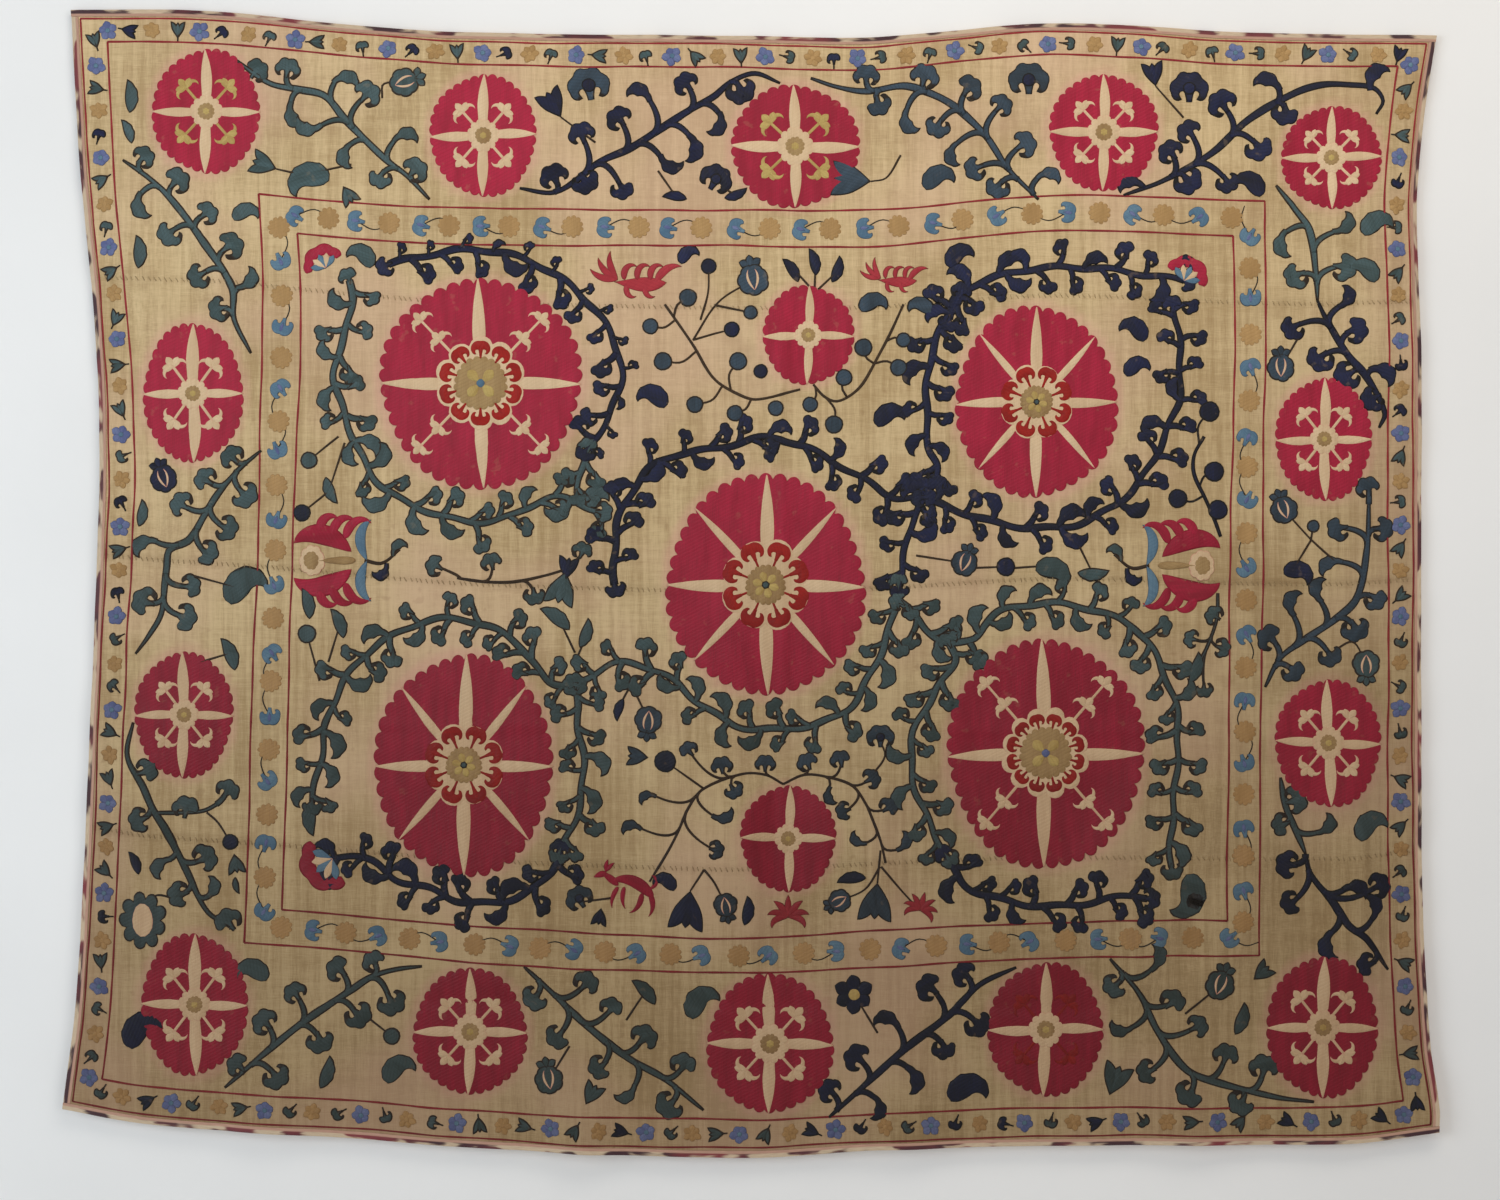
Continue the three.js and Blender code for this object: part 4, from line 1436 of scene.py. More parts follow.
@dataclass(frozen=True)
class Layout:
    """Where the motifs lie."""

    medallions: tuple[Medallion, ...] = (
        Medallion((-872, 120), 87, 101, spray=YELLOW),
        Medallion((-429, 159), 86, 98),
        Medallion((69, 176), 104, 99, spray=YELLOW),
        Medallion((562, 154), 88, 94),
        Medallion((926, 194), 80, 83),
        Medallion((-893, 571), 81, 112),
        Medallion((-906, 1084), 79, 102),
        Medallion((914, 644), 78, 99),
        Medallion((920, 1129), 86, 102),
        Medallion((-889, 1546), 86, 114),
        Medallion((-449, 1589), 92, 102),
        Medallion((29, 1608), 102, 112),
        Medallion((468, 1585), 93, 108, spray=SCARLET),
        Medallion((910, 1582), 90, 114),
        Medallion((-433, 555), 162, 170, 4, 10, 2, 42, SKY, IVORY),
        Medallion((454, 585), 131, 154, 8, 8, 0, 38, GREEN),
        Medallion((22, 877), 160, 178, 8, 8, 0, 42, GREEN),
        Medallion((-459, 1164), 144, 178, 8, 8, 0, 40, GREEN),
        Medallion((468, 1145), 158, 184, 4, 12, 2, 44, VIOLET, IVORY),
        Medallion((90, 478), 74, 80, fleurs=0, scallops=28),
        Medallion((58, 1282), 77, 86, fleurs=0, scallops=30),
    )
    vines: tuple[Vine, ...] = (
        Vine(NAVY, (
            (-581, 365), (-510, 348), (-430, 342), (-350, 362), (-277, 410), (-224, 478), (-208, 545),
            (-225, 600), (-261, 662),
        ), left_share=0.6),
        Vine(GREEN, ((-261, 662), (-275, 699), (-277, 731))),
        Vine(GREEN, (
            (-643, 390), (-640, 440), (-662, 510), (-666, 552), (-645, 620), (-608, 699), (-568, 736),
            (-523, 757), (-453, 776), (-387, 768), (-318, 737), (-242, 760),
        )),
        Vine(NAVY, (
            (-219, 877), (-219, 837), (-214, 776), (-171, 699), (-123, 670), (-58, 660), (21, 642),
            (80, 655),
            (134, 683), (189, 715), (230, 738), (274, 739),
        )),
        Vine(NAVY, (
            (334, 413), (307, 458), (285, 515), (278, 605), (284, 660), (294, 691), (278, 736),
            (258, 768),
            (245, 821), (234, 878),
        )),
        Vine(GREEN, (
            (234, 878), (221, 942), (184, 1029), (144, 1082), (61, 1106), (-21, 1102), (-82, 1066),
            (-147, 1016), (-216, 1002), (-282, 1037),
        )),
        Vine(
            NAVY,
            ((315, 453), (331, 412), (389, 386), (442, 373), (539, 370), (626, 381), (691, 390)),
        ),
        Vine(NAVY, (
            (274, 739), (323, 757), (405, 781), (502, 784), (576, 752), (626, 702), (667, 621),
            (683, 573),
            (683, 494), (675, 434),
        )),
        Vine(GREEN, (
            (-282, 1037), (-326, 1029), (-376, 968), (-450, 934), (-515, 934), (-568, 955), (-629, 1000),
            (-672, 1075), (-687, 1150), (-702, 1224),
        )),
        Vine(GREEN, ((-282, 1037), (-276, 1100), (-268, 1180), (-282, 1253), (-306, 1302))),
        Vine(NAVY, (
            (-306, 1302), (-323, 1338), (-350, 1362), (-400, 1382), (-461, 1382), (-510, 1363),
            (-568, 1346),
            (-608, 1317), (-637, 1307), (-670, 1315),
        )),
        Vine(GREEN, (
            (238, 905), (282, 950), (315, 971), (352, 963), (371, 939), (400, 918), (442, 908),
            (502, 908),
            (560, 922), (616, 950), (653, 1008), (678, 1082), (677, 1163), (667, 1277), (666, 1326),
        )),
        Vine(GREEN, (
            (315, 971), (322, 1000), (294, 1045), (262, 1100), (253, 1158), (265, 1215), (310, 1310),
        )),
        Vine(NAVY, (
            (310, 1310), (334, 1350), (371, 1371), (461, 1389), (523, 1384), (605, 1371), (629, 1374),
        )),
    )
    sprays: tuple[Spray, ...] = (
        Spray(GREEN, (
            (-515, 261), (-552, 222), (-584, 198), (-650, 133), (-682, 96), (-723, 86), (-771, 75),
            (-829, 35),
        ), (
            (-741, 50), (-659, 64), (-611, 91), (-739, 120), (-701, 150), (-651, 181), (-563, 157),
            (-598, 227),
            (-538, 210), (-789, 53),
        )),
        Spray(NAVY, (
            (-371, 243), (-318, 250), (-282, 232), (-245, 202), (-195, 179), (-155, 154), (-98, 117),
            (-61, 96),
            (-32, 72), (5, 59), (45, 75),
        ), (
            (-318, 222), (-264, 235), (-274, 154), (-213, 128), (-170, 91), (-206, 246), (-139, 202),
            (-106, 72),
            (-91, 170), (-45, 133), (-16, 90),
        )),
        Spray(SLATE, (
            (458, 261), (408, 210), (376, 162), (347, 133), (318, 109), (282, 91), (242, 80), (184, 88),
            (134, 80), (94, 67),
        ), (
            (182, 60), (203, 112), (277, 62), (347, 80), (243, 131), (294, 147), (317, 181), (354, 213),
            (389, 243), (437, 170), (466, 218), (400, 109),
        )),
        Spray(NAVY, (
            (594, 254), (659, 230), (736, 186), (794, 133), (867, 91), (912, 77), (957, 77), (994, 83),
            (1008, 104), (997, 125),
        ), (
            (838, 72), (749, 104), (698, 149), (669, 181), (698, 235), (763, 235), (814, 179), (856, 125),
            (629, 243), (989, 70),
        )),
        Spray(GREEN, (
            (-800, 507), (-826, 453), (-829, 402), (-878, 325), (-926, 262), (-963, 227), (-1005, 198),
        ), (
            (-971, 190), (-984, 262), (-915, 230), (-933, 317), (-867, 283), (-885, 386), (-830, 333),
            (-808, 398), (-853, 435),
        )),
        Spray(GREEN, (
            (-784, 662), (-818, 691), (-850, 728), (-874, 765), (-899, 805), (-931, 821), (-936, 850),
            (-939, 877), (-944, 923), (-963, 958), (-984, 987),
        ), (
            (-832, 670), (-875, 707), (-808, 736), (-915, 747), (-837, 789), (-966, 802), (-870, 829),
            (-894, 880), (-904, 930), (-975, 905),
        )),
        Spray(GREEN, (
            (-986, 1096), (-995, 1149), (-970, 1198), (-954, 1234), (-934, 1267), (-901, 1333),
            (-869, 1397),
            (-832, 1422),
        ), (
            (-976, 1254), (-938, 1318), (-869, 1312), (-914, 1374), (-861, 1371), (-962, 1172),
            (-826, 1428),
        )),
        Spray(GREEN, ((-948, 1240), (-910, 1240), (-874, 1237), (-846, 1222)), (
            (-901, 1230), (-835, 1203),
        ), 46.0, 3.6, 0.6),
        Spray(NAVY, ((1002, 626), (1011, 602), (981, 544), (952, 510), (915, 446), (904, 422)), (
            (861, 466), (949, 426), (965, 466), (904, 515), (949, 545), (1000, 528), (989, 582),
        )),
        Spray(GREEN, ((904, 422), (902, 381), (891, 309), (867, 275), (838, 238)), (
            (843, 320), (942, 309), (866, 381), (949, 365),
        )),
        Spray(SLATE, (
            (819, 1040), (843, 994), (877, 968), (934, 930), (966, 898), (982, 824), (986, 738),
        ), (
            (934, 784), (930, 838), (902, 893), (859, 914), (826, 958), (1010, 787), (1000, 898),
            (968, 949),
            (926, 992), (866, 1014), (986, 718),
        )),
        Spray(GREEN, ((843, 1184), (851, 1229), (870, 1274), (883, 1306)), (
            (869, 1222), (843, 1262), (912, 1269),
        )),
        Spray(NAVY, (
            (883, 1306), (891, 1338), (925, 1382), (949, 1419), (978, 1440), (1014, 1490),
        ), (
            (851, 1325), (952, 1354), (859, 1387), (912, 1440), (995, 1398), (1002, 1354), (978, 1485),
        )),
        Spray(GREEN, (
            (-840, 1678), (-781, 1627), (-715, 1574), (-642, 1525), (-605, 1501), (-568, 1490),
            (-526, 1485),
        ), (
            (-821, 1640), (-778, 1570), (-730, 1525), (-659, 1485), (-574, 1546), (-626, 1566),
            (-685, 1606),
            (-754, 1661), (-603, 1474),
        )),
        Spray(GREEN, (
            (-363, 1485), (-314, 1530), (-261, 1579), (-195, 1632), (-139, 1664), (-77, 1714),
        ), (
            (-347, 1538), (-261, 1509), (-221, 1550), (-310, 1598), (-170, 1595), (-242, 1648),
            (-106, 1640),
            (-192, 1685), (-134, 1709),
        )),
        Spray(NAVY, (
            (123, 1725), (176, 1677), (242, 1616), (315, 1562), (363, 1514), (421, 1486),
        ), (
            (123, 1680), (166, 1627), (226, 1570), (282, 1514), (338, 1494), (363, 1579), (310, 1616),
            (258, 1653), (205, 1701),
        )),
        Spray(GREEN, (
            (570, 1472), (618, 1530), (646, 1587), (691, 1648), (741, 1669), (834, 1693), (896, 1701),
        ), (
            (646, 1480), (574, 1517), (595, 1587), (675, 1542), (629, 1656), (757, 1624), (712, 1579),
            (818, 1643), (696, 1690), (779, 1706),
        )),
        Spray(SLATE, (
            (50, 1195), (22, 1180), (-16, 1178), (-78, 1202), (-101, 1232), (-118, 1271), (-134, 1302),
            (-163, 1350),
        ), (
            (-50, 1163), (-102, 1138), (-162, 1210), (-186, 1261), (-53, 1250), (-56, 1301), (-29, 1206),
            (22, 1160),
        ), 36.0, 2.0, 0.5, 2.0, BROWN),
        Spray(SLATE, (
            (50, 1195), (84, 1180), (120, 1183), (160, 1197), (181, 1225), (192, 1250), (205, 1285),
            (213, 1320),
        ), (
            (90, 1157), (144, 1153), (192, 1184), (122, 1208), (221, 1232), (146, 1240), (173, 1291),
            (242, 1296),
        ), 36.0, 2.0, 0.5, 2.0, BROWN),
        Spray(SLATE, ((77, 565), (8, 581), (-21, 573), (-61, 547), (-94, 494), (-139, 429)), (
            (-102, 418), (-162, 464), (-142, 520), (-22, 520), (-91, 589), (-27, 603),
        ), 27.0, 2.0, 0.6, 1.8, BROWN, True),
        Spray(SLATE, (
            (98, 557), (115, 576), (134, 584), (155, 576), (176, 557), (200, 515), (221, 475), (242, 429),
        ), (
            (178, 498), (147, 546), (93, 589), (131, 621), (242, 486), (234, 530),
        ), 27.0, 2.0, 0.6, 1.8, BROWN, True),
        Spray(NAVY, ((748, 800), (738, 772), (725, 742), (706, 700), (706, 670), (722, 640)), (
            (738, 696), (680, 739), (744, 757), (731, 600),
        ), 30.0, 3.0, 0.5, 2.6, None, True),
        Spray(GREEN, ((744, 890), (742, 930), (727, 975), (714, 1000)), (
            (752, 979), (700, 962), (722, 1046), (735, 925),
        ), 34.0, 3.0, 0.5, 2.6),
        Spray(GREEN, ((-470, 866), (-425, 872), (-380, 872), (-330, 862), (-290, 850)), (
            (-414, 838), (-267, 822), (-507, 845), (-345, 896),
        ), 40.0, 2.2, 0.5, 2.2, BROWN),
    )
    fillers: tuple[Filler, ...] = tuple(Filler(*row) for row in (
        (POMEGRANATE, GREEN, (-555, 75), 20, 48, ((-590, 100), (-588, 78))),
        (PAISLEY, GREEN, (-699, 218), 150, 56, ((-640, 205),)),
        (BELL, GREEN, (-653, 240), -60, 30),
        (BELL, GREEN, (-760, 212), 160, 40, ((-716, 222),)),
        (FAN, SLATE, (-259, 88), 100, 50),
        (BELL, NAVY, (-305, 130), 120, 44, ((-250, 170),)),
        (FAN, NAVY, (-61, 235), 60, 40),
        (LEAF, NAVY, (-123, 254), 160, 34, ((-150, 215),)),
        (LEAF, NAVY, (-24, 255), 10, 34, ((-50, 240),)),
        (FAN, SLATE, (442, 80), 90, 48),
        (BELL, SLATE, (190, 232), 175, 58, ((238, 190), (215, 226))),
        (PAISLEY, SLATE, (286, 226), 70, 44),
        (BELL, NAVY, (645, 80), 100, 36, ((690, 130),)),
        (FAN, NAVY, (699, 92), 90, 46),
        (PAISLEY, NAVY, (808, 237), 100, 42),
        (PAISLEY, GREEN, (-818, 280), 60, 36),
        (LEAF, GREEN, (-974, 345), 80, 46),
        (LEAF, GREEN, (-990, 95), 80, 46),
        (LEAF, GREEN, (-995, 150), 100, 36),
        (POMEGRANATE, NAVY, (-941, 707), 110, 46),
        (LEAF, GREEN, (-974, 762), 70, 38),
        (PAISLEY, GREEN, (-826, 880), 80, 60, ((-900, 860),)),
        (LEAF, GREEN, (-830, 985), 100, 48, ((-880, 1000),)),
        (RING, GREEN, (-970, 1411), 90, 60, ((-914, 1378), (-950, 1372))),
        (BERRY, NAVY, (-832, 1287), 90, 22, ((-870, 1240), (-852, 1256))),
        (BELL, GREEN, (-826, 1306), -80, 30),
        (LEAF, GREEN, (-824, 1357), -90, 24),
        (LEAF, NAVY, (-980, 1318), 100, 34),
        (PAISLEY, NAVY, (-988, 1590), 90, 56),
        (PAISLEY, GREEN, (985, 300), 70, 44),
        (PAISLEY, GREEN, (989, 376), 100, 40),
        (POMEGRANATE, SLATE, (845, 530), 90, 46, ((880, 470),)),
        (POMEGRANATE, SLATE, (850, 757), 110, 46, ((930, 838), (895, 806), (880, 790))),
        (BERRY, SLATE, (897, 783), 90, 18, ((893, 806),)),
        (PAISLEY, NAVY, (866, 850), 30, 40, ((893, 806),)),
        (POMEGRANATE, GREEN, (981, 1003), -90, 46, ((926, 985), (960, 968))),
        (PAISLEY, GREEN, (973, 1262), 80, 48),
        (LEAF, GREEN, (-674, 1655), 60, 46),
        (PAISLEY, GREEN, (-576, 1650), 80, 46),
        (BERRY, GREEN, (-574, 1596), 90, 24, ((-620, 1560),)),
        (PAISLEY, GREEN, (-785, 1490), 120, 44),
        (POMEGRANATE, GREEN, (-323, 1664), 100, 48, ((-290, 1610),)),
        (BELL, GREEN, (-264, 1702), 60, 34),
        (LEAF, GREEN, (-168, 1522), 120, 46, ((-200, 1570),)),
        (PAISLEY, GREEN, (-94, 1545), 90, 50),
        (BLOOM, NAVY, (163, 1530), 90, 54, ((200, 1590),)),
        (PAISLEY, NAVY, (330, 1677), 60, 54),
        (POMEGRANATE, GREEN, (745, 1514), 70, 50, ((690, 1560),)),
        (BELL, GREEN, (570, 1690), 70, 48),
        (LEAF, GREEN, (784, 1570), 60, 46),
        (BELL, GREEN, (800, 1506), 40, 32),
        (BERRY, NAVY, (-32, 469), 90, 22, ((-94, 486), (-60, 476))),
        (BERRY, SLATE, (-2, 442), 90, 20, ((-60, 430),)),
        (BERRY, NAVY, (14, 536), 90, 20),
        (BERRY, SLATE, (38, 595), 90, 22),
        (BERRY, NAVY, (-69, 368), 90, 22, ((-82, 454), (-70, 410))),
        (POMEGRANATE, SLATE, (2, 390), 100, 52, ((-94, 486), (-53, 425))),
        (LEAF, NAVY, (66, 372), 110, 38, ((96, 405),)),
        (LEAF, NAVY, (102, 360), 90, 38, ((100, 405),)),
        (LEAF, NAVY, (139, 374), 60, 38, ((106, 405),)),
        (PAISLEY, NAVY, (-147, 576), 110, 42),
        (PAISLEY, NAVY, (208, 606), 70, 42),
        (PAISLEY, SLATE, (278, 430), 120, 34),
        (PAISLEY, SLATE, (184, 425), 60, 38),
        (PAISLEY, NAVY, (621, 470), 100, 40),
        (PAISLEY, NAVY, (605, 528), 70, 36),
        (PAISLEY, GREEN, (-613, 352), 100, 40),
        (PAISLEY, NAVY, (320, 352), 80, 40),
        (PAISLEY, NAVY, (-110, 350), 80, 30),
        (LEAF, GREEN, (-310, 926), 130, 50, ((-282, 985),)),
        (LEAF, GREEN, (-262, 955), 60, 42, ((-282, 1000),)),
        (POMEGRANATE, SLATE, (339, 842), 70, 44, ((262, 830),)),
        (BERRY, NAVY, (405, 848), 90, 26, ((350, 850),)),
        (PAISLEY, GREEN, (474, 846), 20, 48, ((418, 850),)),
        (LEAF, GREEN, (545, 862), -10, 44, ((515, 800),)),
        (BERRY, GREEN, (-707, 678), 90, 24, ((-660, 640),)),
        (LEAF, GREEN, (-676, 728), -80, 40, ((-650, 650),)),
        (BERRY, NAVY, (-718, 762), 90, 24, ((-676, 728),)),
        (LEAF, GREEN, (-706, 905), 90, 44),
        (BERRY, GREEN, (-710, 955), 90, 26, ((-690, 1030),)),
        (LEAF, GREEN, (-656, 936), 100, 44, ((-676, 1000),)),
        (LEAF, GREEN, (-708, 1250), -100, 48),
        (PAISLEY, GREEN, (705, 1362), -60, 60),
        (LEAF, GREEN, (712, 1010), 60, 44),
        (BERRY, NAVY, (-138, 1158), 90, 30, ((-78, 1200),)),
        (BELL, SLATE, (-165, 1152), 175, 32),
        (POMEGRANATE, SLATE, (-165, 1092), -95, 46, ((-190, 1040),)),
        (LEAF, NAVY, (-214, 1075), -120, 32, ((-195, 1040),)),
        (FAN, SLATE, (205, 1126), 90, 34, ((192, 1180), (212, 1150))),
        (FAN, SLATE, (-272, 1382), 120, 34, ((-225, 1376),)),
        (BELL, NAVY, (-240, 1392), -100, 26),
        (BELL, NAVY, (-98, 1364), -98, 58, ((-76, 1330),)),
        (PAISLEY, NAVY, (-130, 1350), 110, 32),
        (POMEGRANATE, SLATE, (-42, 1386), -80, 40, ((-76, 1330), (-60, 1350))),
        (LEAF, NAVY, (-4, 1396), 70, 40),
        (POMEGRANATE, SLATE, (140, 1380), -150, 38, ((204, 1326), (180, 1362))),
        (LEAF, NAVY, (158, 1342), 175, 40),
        (BELL, SLATE, (200, 1352), -95, 56, ((205, 1300),)),
        (BELL, GREEN, (-297, 856), -104, 50, ((-292, 842),)),
        (BELL, NAVY, (-297, 868), 80, 34),
        (CARNATION, CORAL, (58, 1408), 90, 50),
        (CARNATION, CORAL, (268, 1396), 75, 42, ((206, 1326), (240, 1366))),
    ))
    side_flowers: tuple[SideFlower, ...] = (
        SideFlower((-674, 838), 70.0, -1.0), SideFlower((690, 846), 70.0, 1.0),
    )
    corner_fans: tuple[CornerFan, ...] = (
        CornerFan((-682, 368), 118.0, 33.0),
        CornerFan((692, 388), 62.0, 35.0),
        CornerFan((-672, 1316), -140.0, 46.0),
    )
    figures: tuple[Figure, ...] = (
        Bird((-184, 381), 150.0, 1.0),
        Bird((228, 381), 112.0, 1.0),
        Hare((-197, 1362), 100.0, -1.0),
    )
    red_lines: tuple[RedLine, ...] = (
        RedLine(Inset(13, 13, 13, 14), 1.5),
        RedLine(Inset(54, 50, 53, 58)),
        RedLine(Inset(259, 276, 258, 290, FIELD_CORNERS)),
        RedLine(Inset(317, 333, 310, 346, FIELD_CORNERS)),
    )
    guards: tuple[GuardBand, ...] = (
        GuardBand(Inset(34, 32, 33, 36), 37.0, 31.0, True),
        GuardBand(Inset(288, 304, 284, 318, FIELD_CORNERS), 53.0, 40.0, False),
    )

    def work(self, needle: Needle) -> None:
        """Works every motif, from the lines up to the medallions."""
        groups = (
            self.red_lines, self.guards, self.fillers, self.vines, self.sprays, self.side_flowers,
            self.corner_fans, self.figures, self.medallions,
        )
        for group in groups:
            for motif in group:
                motif.build(needle)


@dataclass
class ClothPanel:
    """One loom width of cotton, a thin sheet on the hung folds."""

    number: int
    cloth: HungCloth
    tint: float
    cell: float = 12.0
    seam_dip: float = 0.5
    seam_reach: float = 5.0
    bled_share: float = 0.42
    bled_reach: float = 12.0
    drawn_depth: float = 0.6
    piece: Piece = field(init=False)

    def build(self) -> Piece:
        """Shapes a grid to the hung cloth and gives it its thickness."""
        top, bottom = self.cloth.seams[self.number - 1], self.cloth.seams[self.number]
        columns = round(self.cloth.width / self.cell)
        rows = round((bottom - top) / self.cell)
        self.piece, flat = flat_grid(f"cloth_{self.number}", columns, rows)
        mesh = self.piece.data
        drop = top + (bottom - top) * (0.5 - 0.5 * flat[:, 1])
        far = np.full(len(flat), FAR_FROM_SEAM)
        upper = drop - top if self.number > 1 else far
        lower = bottom - drop if self.number < 4 else far
        to_seam = np.minimum(upper, lower)
        dip = self.seam_dip * np.exp(-((to_seam / self.seam_reach) ** 2))
        points = self.cloth.on_wall((0.5 + 0.5 * flat[:, 0]) * self.cloth.width, drop)
        dip = dip + self.stain(mesh, points, to_seam)
        mesh.vertices.foreach_set("co", self.cloth.raised(points, -dip).ravel())
        thicken(self.piece, self.cloth.thickness)
        return self.piece

    def stain(self, mesh: bpy.types.Mesh, points: Line, to_seam: np.ndarray) -> np.ndarray:
        """Stores where red dye has bled round the medallions, and how much darker the cloth is at the
        seams, low down and on the right.

        Args:
            mesh: the grid, before it has a thickness.
            points: hung points of the grid.
            to_seam: distances to the nearer seam.

        Returns:
            How far the close stitches of the medallions draw the cloth back.
        """
        dye = np.zeros(len(points))
        drawn = np.zeros(len(points))
        for medallion in Layout().medallions:
            arm = points - spot(medallion.centre)
            share = np.hypot(arm.real / medallion.across, arm.imag / medallion.tall)
            gap = (share - 1.0) * medallion.across
            dye = np.maximum(dye, self.bled_share * ease((self.bled_reach - gap) / self.bled_reach))
            drawn = np.maximum(drawn, self.drawn_depth * ease((-4.0 - gap) / 10.0))
        right, down = points.real, -points.imag
        # The colour is darkened along the seams, more towards the bottom, towards the right and at the
        # lower right.
        darkening = 0.22 * np.exp(-((to_seam / 3.0) ** 2)) + ease((down - 200.0) / 1500.0)
        darkening = darkening + 0.3 * ease((right - 500.0) / 600.0) + 0.25 * ease((down - 1430.0) / 200.0)
        darkening = darkening + 0.15 * ease((right + 100.0) / 500.0) * ease((down - 600.0) / 600.0)
        for name, values in (("dye", dye), ("darkening", darkening)):
            store_numbers(mesh, name, values)
        return drawn

    def dress(self, finish: CottonFinish) -> None:
        """Gives the panel its finish and body, and hides its part from model.glb."""
        self.piece.data.materials.append(finish.material(self.tint))
        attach(self.piece, BODY)
        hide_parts(f"panel_{self.number}")


@dataclass
class Binding:
    """One strip of silk folded round an edge of the cloth."""

    side: str
    start: complex
    end: complex
    cloth: HungCloth
    reach: float = 10.0
    gap: float = 0.3
    thickness: float = 1.0
    flat_width: float = 26.5
    cell: float = 8.0
    cells_round: int = 14
    bent_share: float = 0.2
    piece: Piece = field(init=False)

    def build(self) -> Piece:
        """Shapes a grid to a folded strip along the edge and gives it its thickness."""
        length = abs(self.end - self.start)
        columns = round(length / self.cell)
        self.piece, flat = flat_grid(f"binding_{self.side}_strip", columns, self.cells_round)
        share = 0.5 + 0.5 * flat[:, 0]
        across, height = self.section(flat[:, 1])
        along = (self.end - self.start) / length
        place = self.start + (self.end - self.start) * share + 1j * along * across
        points = self.cloth.on_wall(place.real, place.imag)
        wave = 0.5 * np.sin(share * length * 0.043) + 0.3 * np.sin(share * length * 0.117 + 1.0)
        loose = np.abs(flat[:, 1]) < 0.9
        places = self.cloth.raised(points, height + 0.3 * wave * loose)
        self.piece.data.vertices.foreach_set("co", places.ravel())
        store_map(self.piece.data, "strip", share * length + 1j * across)
        thicken(self.piece, self.thickness)
        return self.piece

    def section(self, round_edge: np.ndarray) -> tuple[np.ndarray, np.ndarray]:
        """Gives the strip's section.

        Args:
            round_edge: share round the edge, -1 behind to 1 in front.

        Returns:
            How far in from the edge, and the height, of the strip's middle.
        """
        stand = 0.5 * self.cloth.thickness + self.gap + 0.5 * self.thickness
        leg = np.abs(round_edge)
        bent = leg < self.bent_share
        turn = np.where(bent, round_edge / self.bent_share, np.sign(round_edge)) * 0.5 * math.pi
        straight = (leg - self.bent_share) / (1.0 - self.bent_share) * self.reach - self.gap
        across = np.where(bent, -self.gap - 0.5 * self.thickness * np.cos(turn), straight)
        return across, stand * np.sin(turn)

    def dress(self, material: bpy.types.Material) -> None:
        """Gives the strip its finish and body, and hides its part from model.glb."""
        self.piece.data.materials.append(material)
        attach(self.piece, BODY)
        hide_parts(f"binding_{self.side}")


@dataclass
class SeamStitching:
    """Small tacking stitches that join the loom widths."""

    cloth: HungCloth
    pitch: float = 9.0
    start: float = 14.0
    left_free: float = 20.0
    reach: float = 3.2
    height: float = 0.35

    def build(self, needle: Needle) -> None:
        """Works short slanting stitches across each seam."""
        half = np.array([0.35, 0.5, 0.35])
        for seam in self.cloth.seams[1:-1]:
            for step in range(1, int((self.cloth.width - self.left_free) / self.pitch)):
                along = self.start + step * self.pitch + needle.any(-1.5, 1.5)
                slant = complex(needle.any(0.5, 2.5), self.reach)
                line = complex(along, seam) + slant * np.array([-1.0, 0.0, 1.0])
                spine = needle.cloth.on_wall(line.real, line.imag)
                needle.skeins[TACKING].ribbon(spine, half, half, self.height)


@dataclass(frozen=True)
class Lamp:
    """A soft rectangular light: its place and size in metres, turn in degrees and power in watts."""

    name: str
    place: Spot
    tilt: Spot
    size: tuple[float, float]
    power: float
    colour: Spot

    def build(self) -> None:
        """Adds the light to the stage."""
        turn = tuple(math.radians(angle) for angle in self.tilt)
        bpy.ops.object.light_add(type="AREA", location=self.place, rotation=turn)
        lamp = bpy.context.object
        lamp.name = self.name
        lamp.data.shape = "RECTANGLE"
        lamp.data.size, lamp.data.size_y = self.size
        lamp.data.energy = self.power
        lamp.data.color = self.colour


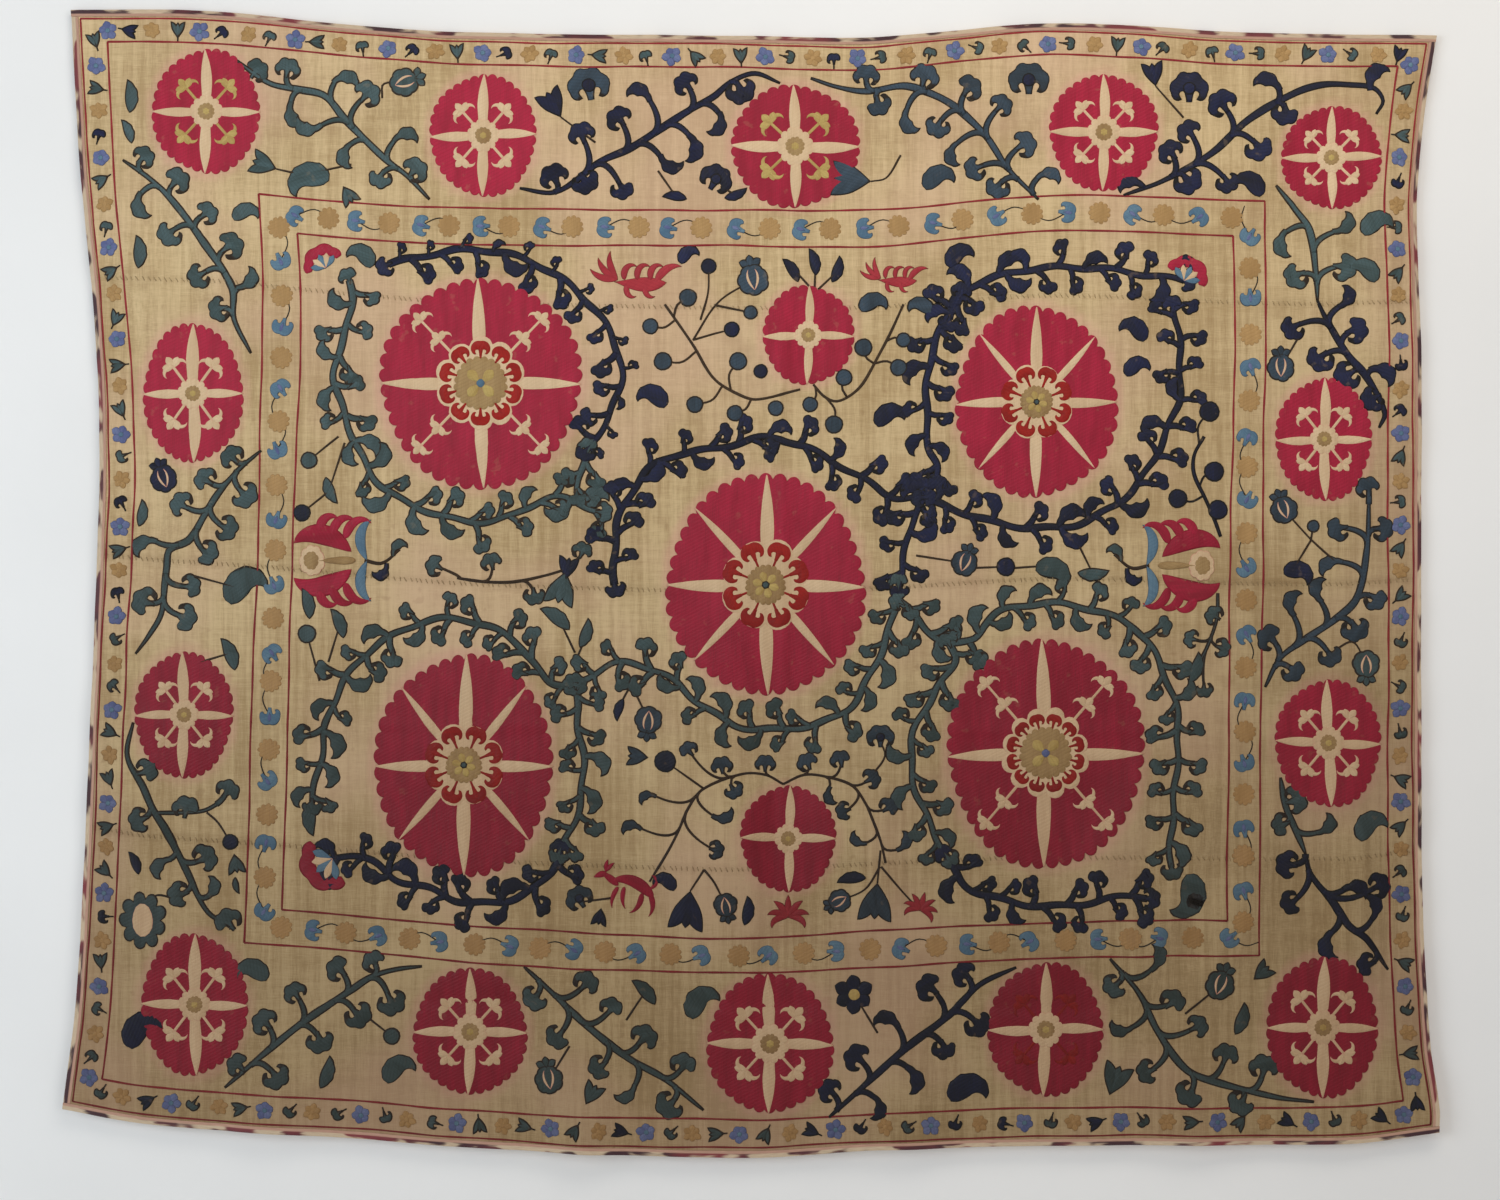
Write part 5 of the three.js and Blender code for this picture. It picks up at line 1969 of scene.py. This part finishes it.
@dataclass
class Stage:
    """A pale wall and floor, soft light and the camera."""

    wall_back: float = 0.009
    wall_size: float = 9.0
    floor: float = -2.45
    floor_size: float = 12.0
    sky: Colour = (0.9, 0.94, 1.0, 1.0)
    sky_strength: float = 0.24
    camera_place: Spot = (-0.003, -3.333, -0.901)
    lens: float = 50.0
    sensor: float = 36.0
    lamps: tuple[Lamp, ...] = (
        Lamp("key", (0.7, -1.9, 1.5), (48.0, 0.0, 14.0), (2.6, 1.2), 39.0, (1.0, 0.93, 0.82)),
        Lamp("window", (-3.4, -2.9, -0.5), (84.0, 0.0, -52.0), (2.4, 2.4), 90.0, (0.84, 0.93, 1.0)),
        Lamp("fill", (2.6, -3.6, -0.6), (86.0, 0.0, 38.0), (2.4, 2.4), 34.0, (1.0, 0.96, 0.92)),
        Lamp("behind", (0.6, 3.0, 1.4), (-58.0, 0.0, 0.0), (2.4, 2.4), 90.0, (1.0, 0.98, 0.95)),
    )

    def paint(self, name: str, colour: Colour, one_sided: bool) -> bpy.types.Material:
        """Makes a matt paint, clear from behind where it is one-sided."""
        shader = Shader(name)
        where = shader.where()
        grain = shader.noise(where, 220.0, 3.0)
        darker = tuple(0.95 * part for part in colour[:3]) + (1.0,)
        broad = shader.mix(shader.ramp(shader.noise(where, 1.3), 0.3, 0.7), colour, darker)
        inputs = {"Base Color": broad, "Roughness": 0.9, "Normal": shader.bump(grain, 0.15, 0.0006)}
        surface = shader.node("BsdfPrincipled", {}, inputs)
        last = surface.outputs[0]
        if one_sided:
            behind = shader.node("NewGeometry", {}, {}).outputs["Backfacing"]
            clear = shader.node("BsdfTransparent", {}, {})
            last = shader.node(
                "MixShader", {}, {0: behind, 1: last, 2: clear.outputs[0]},
            ).outputs[0]
        shader.node("OutputMaterial", {}, {"Surface": last})
        return shader.material

    def plane(self, name: str, size: float, place: Spot, tilt: float) -> Piece:
        """Adds a square plane to the stage."""
        bpy.ops.object.select_all(action="DESELECT")
        bpy.ops.mesh.primitive_plane_add(
            size=size, location=place, rotation=(math.radians(tilt), 0.0, 0.0),
        )
        made = bpy.context.object
        made.name = name
        return made

    def build(self) -> None:
        """Sets the wall, floor, lights, world and camera."""
        middle = self.floor + 0.5 * self.wall_size
        wall = self.plane("wall", self.wall_size, (0.0, self.wall_back, middle), 90.0)
        for reach in ("visible_shadow", "visible_diffuse", "visible_glossy"):
            setattr(wall, reach, False)
        wall.data.materials.append(self.paint("wall_paint", linear(240, 239, 238), True))
        floor = self.plane("floor", self.floor_size, (0.0, 0.0, self.floor), 0.0)
        floor.data.materials.append(self.paint("floor_paint", linear(226, 223, 218), False))
        for lamp in self.lamps:
            lamp.build()
        world = bpy.data.worlds.new("room")
        world.use_nodes = True
        background = world.node_tree.nodes["Background"].inputs
        background["Color"].default_value = self.sky
        background["Strength"].default_value = self.sky_strength
        bpy.context.scene.world = world
        bpy.context.scene.view_settings.view_transform = "Standard"
        bpy.ops.object.camera_add(location=self.camera_place, rotation=(math.radians(90.0), 0.0, 0.0))
        camera = bpy.context.object
        camera.name = "photo_camera"
        camera.data.lens = self.lens
        camera.data.sensor_width = self.sensor
        bpy.context.scene.camera = camera


@dataclass
class Suzani:
    """The whole textile: four cotton widths, the binding and the embroidery."""

    cloth: HungCloth = field(default_factory=HungCloth)
    layout: Layout = field(default_factory=Layout)
    tints: tuple[float, ...] = (0.0, 0.06, -0.04, 0.08)
    corner_over: float = 1.3
    corner_inner: float = 10.3

    def build(self) -> list[Piece]:
        """Builds every piece and returns them."""
        made = []
        finish = CottonFinish()
        for number, tint in enumerate(self.tints, 1):
            panel = ClothPanel(number, self.cloth, tint)
            made.append(panel.build())
            panel.dress(finish)
        edging = BindingFinish().material()
        for binding in self.bindings():
            made.append(binding.build())
            binding.dress(edging)
        needle = Needle(self.cloth)
        SeamStitching(self.cloth).build(needle)
        self.layout.work(needle)
        worked = [skein.build(self.cloth) for skein in needle.skeins.values()]
        return made + [piece for piece in worked if piece]

    def bindings(self) -> list[Binding]:
        """Gives the four strips, with the top and bottom ones over the corners."""
        width, height = self.cloth.width, self.cloth.height
        over, inner = self.corner_over, self.corner_inner
        return [
            Binding("top", complex(-over, 0.0), complex(width + over, 0.0), self.cloth),
            Binding("bottom", complex(width + over, height), complex(-over, height), self.cloth),
            Binding("left", complex(0.0, height - inner), complex(0.0, inner), self.cloth),
            Binding("right", complex(width, inner), complex(width, height - inner), self.cloth),
        ]


def triangles(piece: Piece) -> int:
    """Counts a piece's triangles."""
    return sum(len(face.vertices) - 2 for face in piece.data.polygons)


def main() -> None:
    """Builds the textile and its stage."""
    logging.basicConfig(level=logging.INFO, format="%(message)s")
    pieces = Suzani().build()
    for piece in pieces:
        LOG.info("%s: %d triangles", piece.name, triangles(piece))
    LOG.info("all pieces: %d triangles", sum(triangles(piece) for piece in pieces))
    Stage().build()
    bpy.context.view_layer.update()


if __name__ == "__main__":
    main()
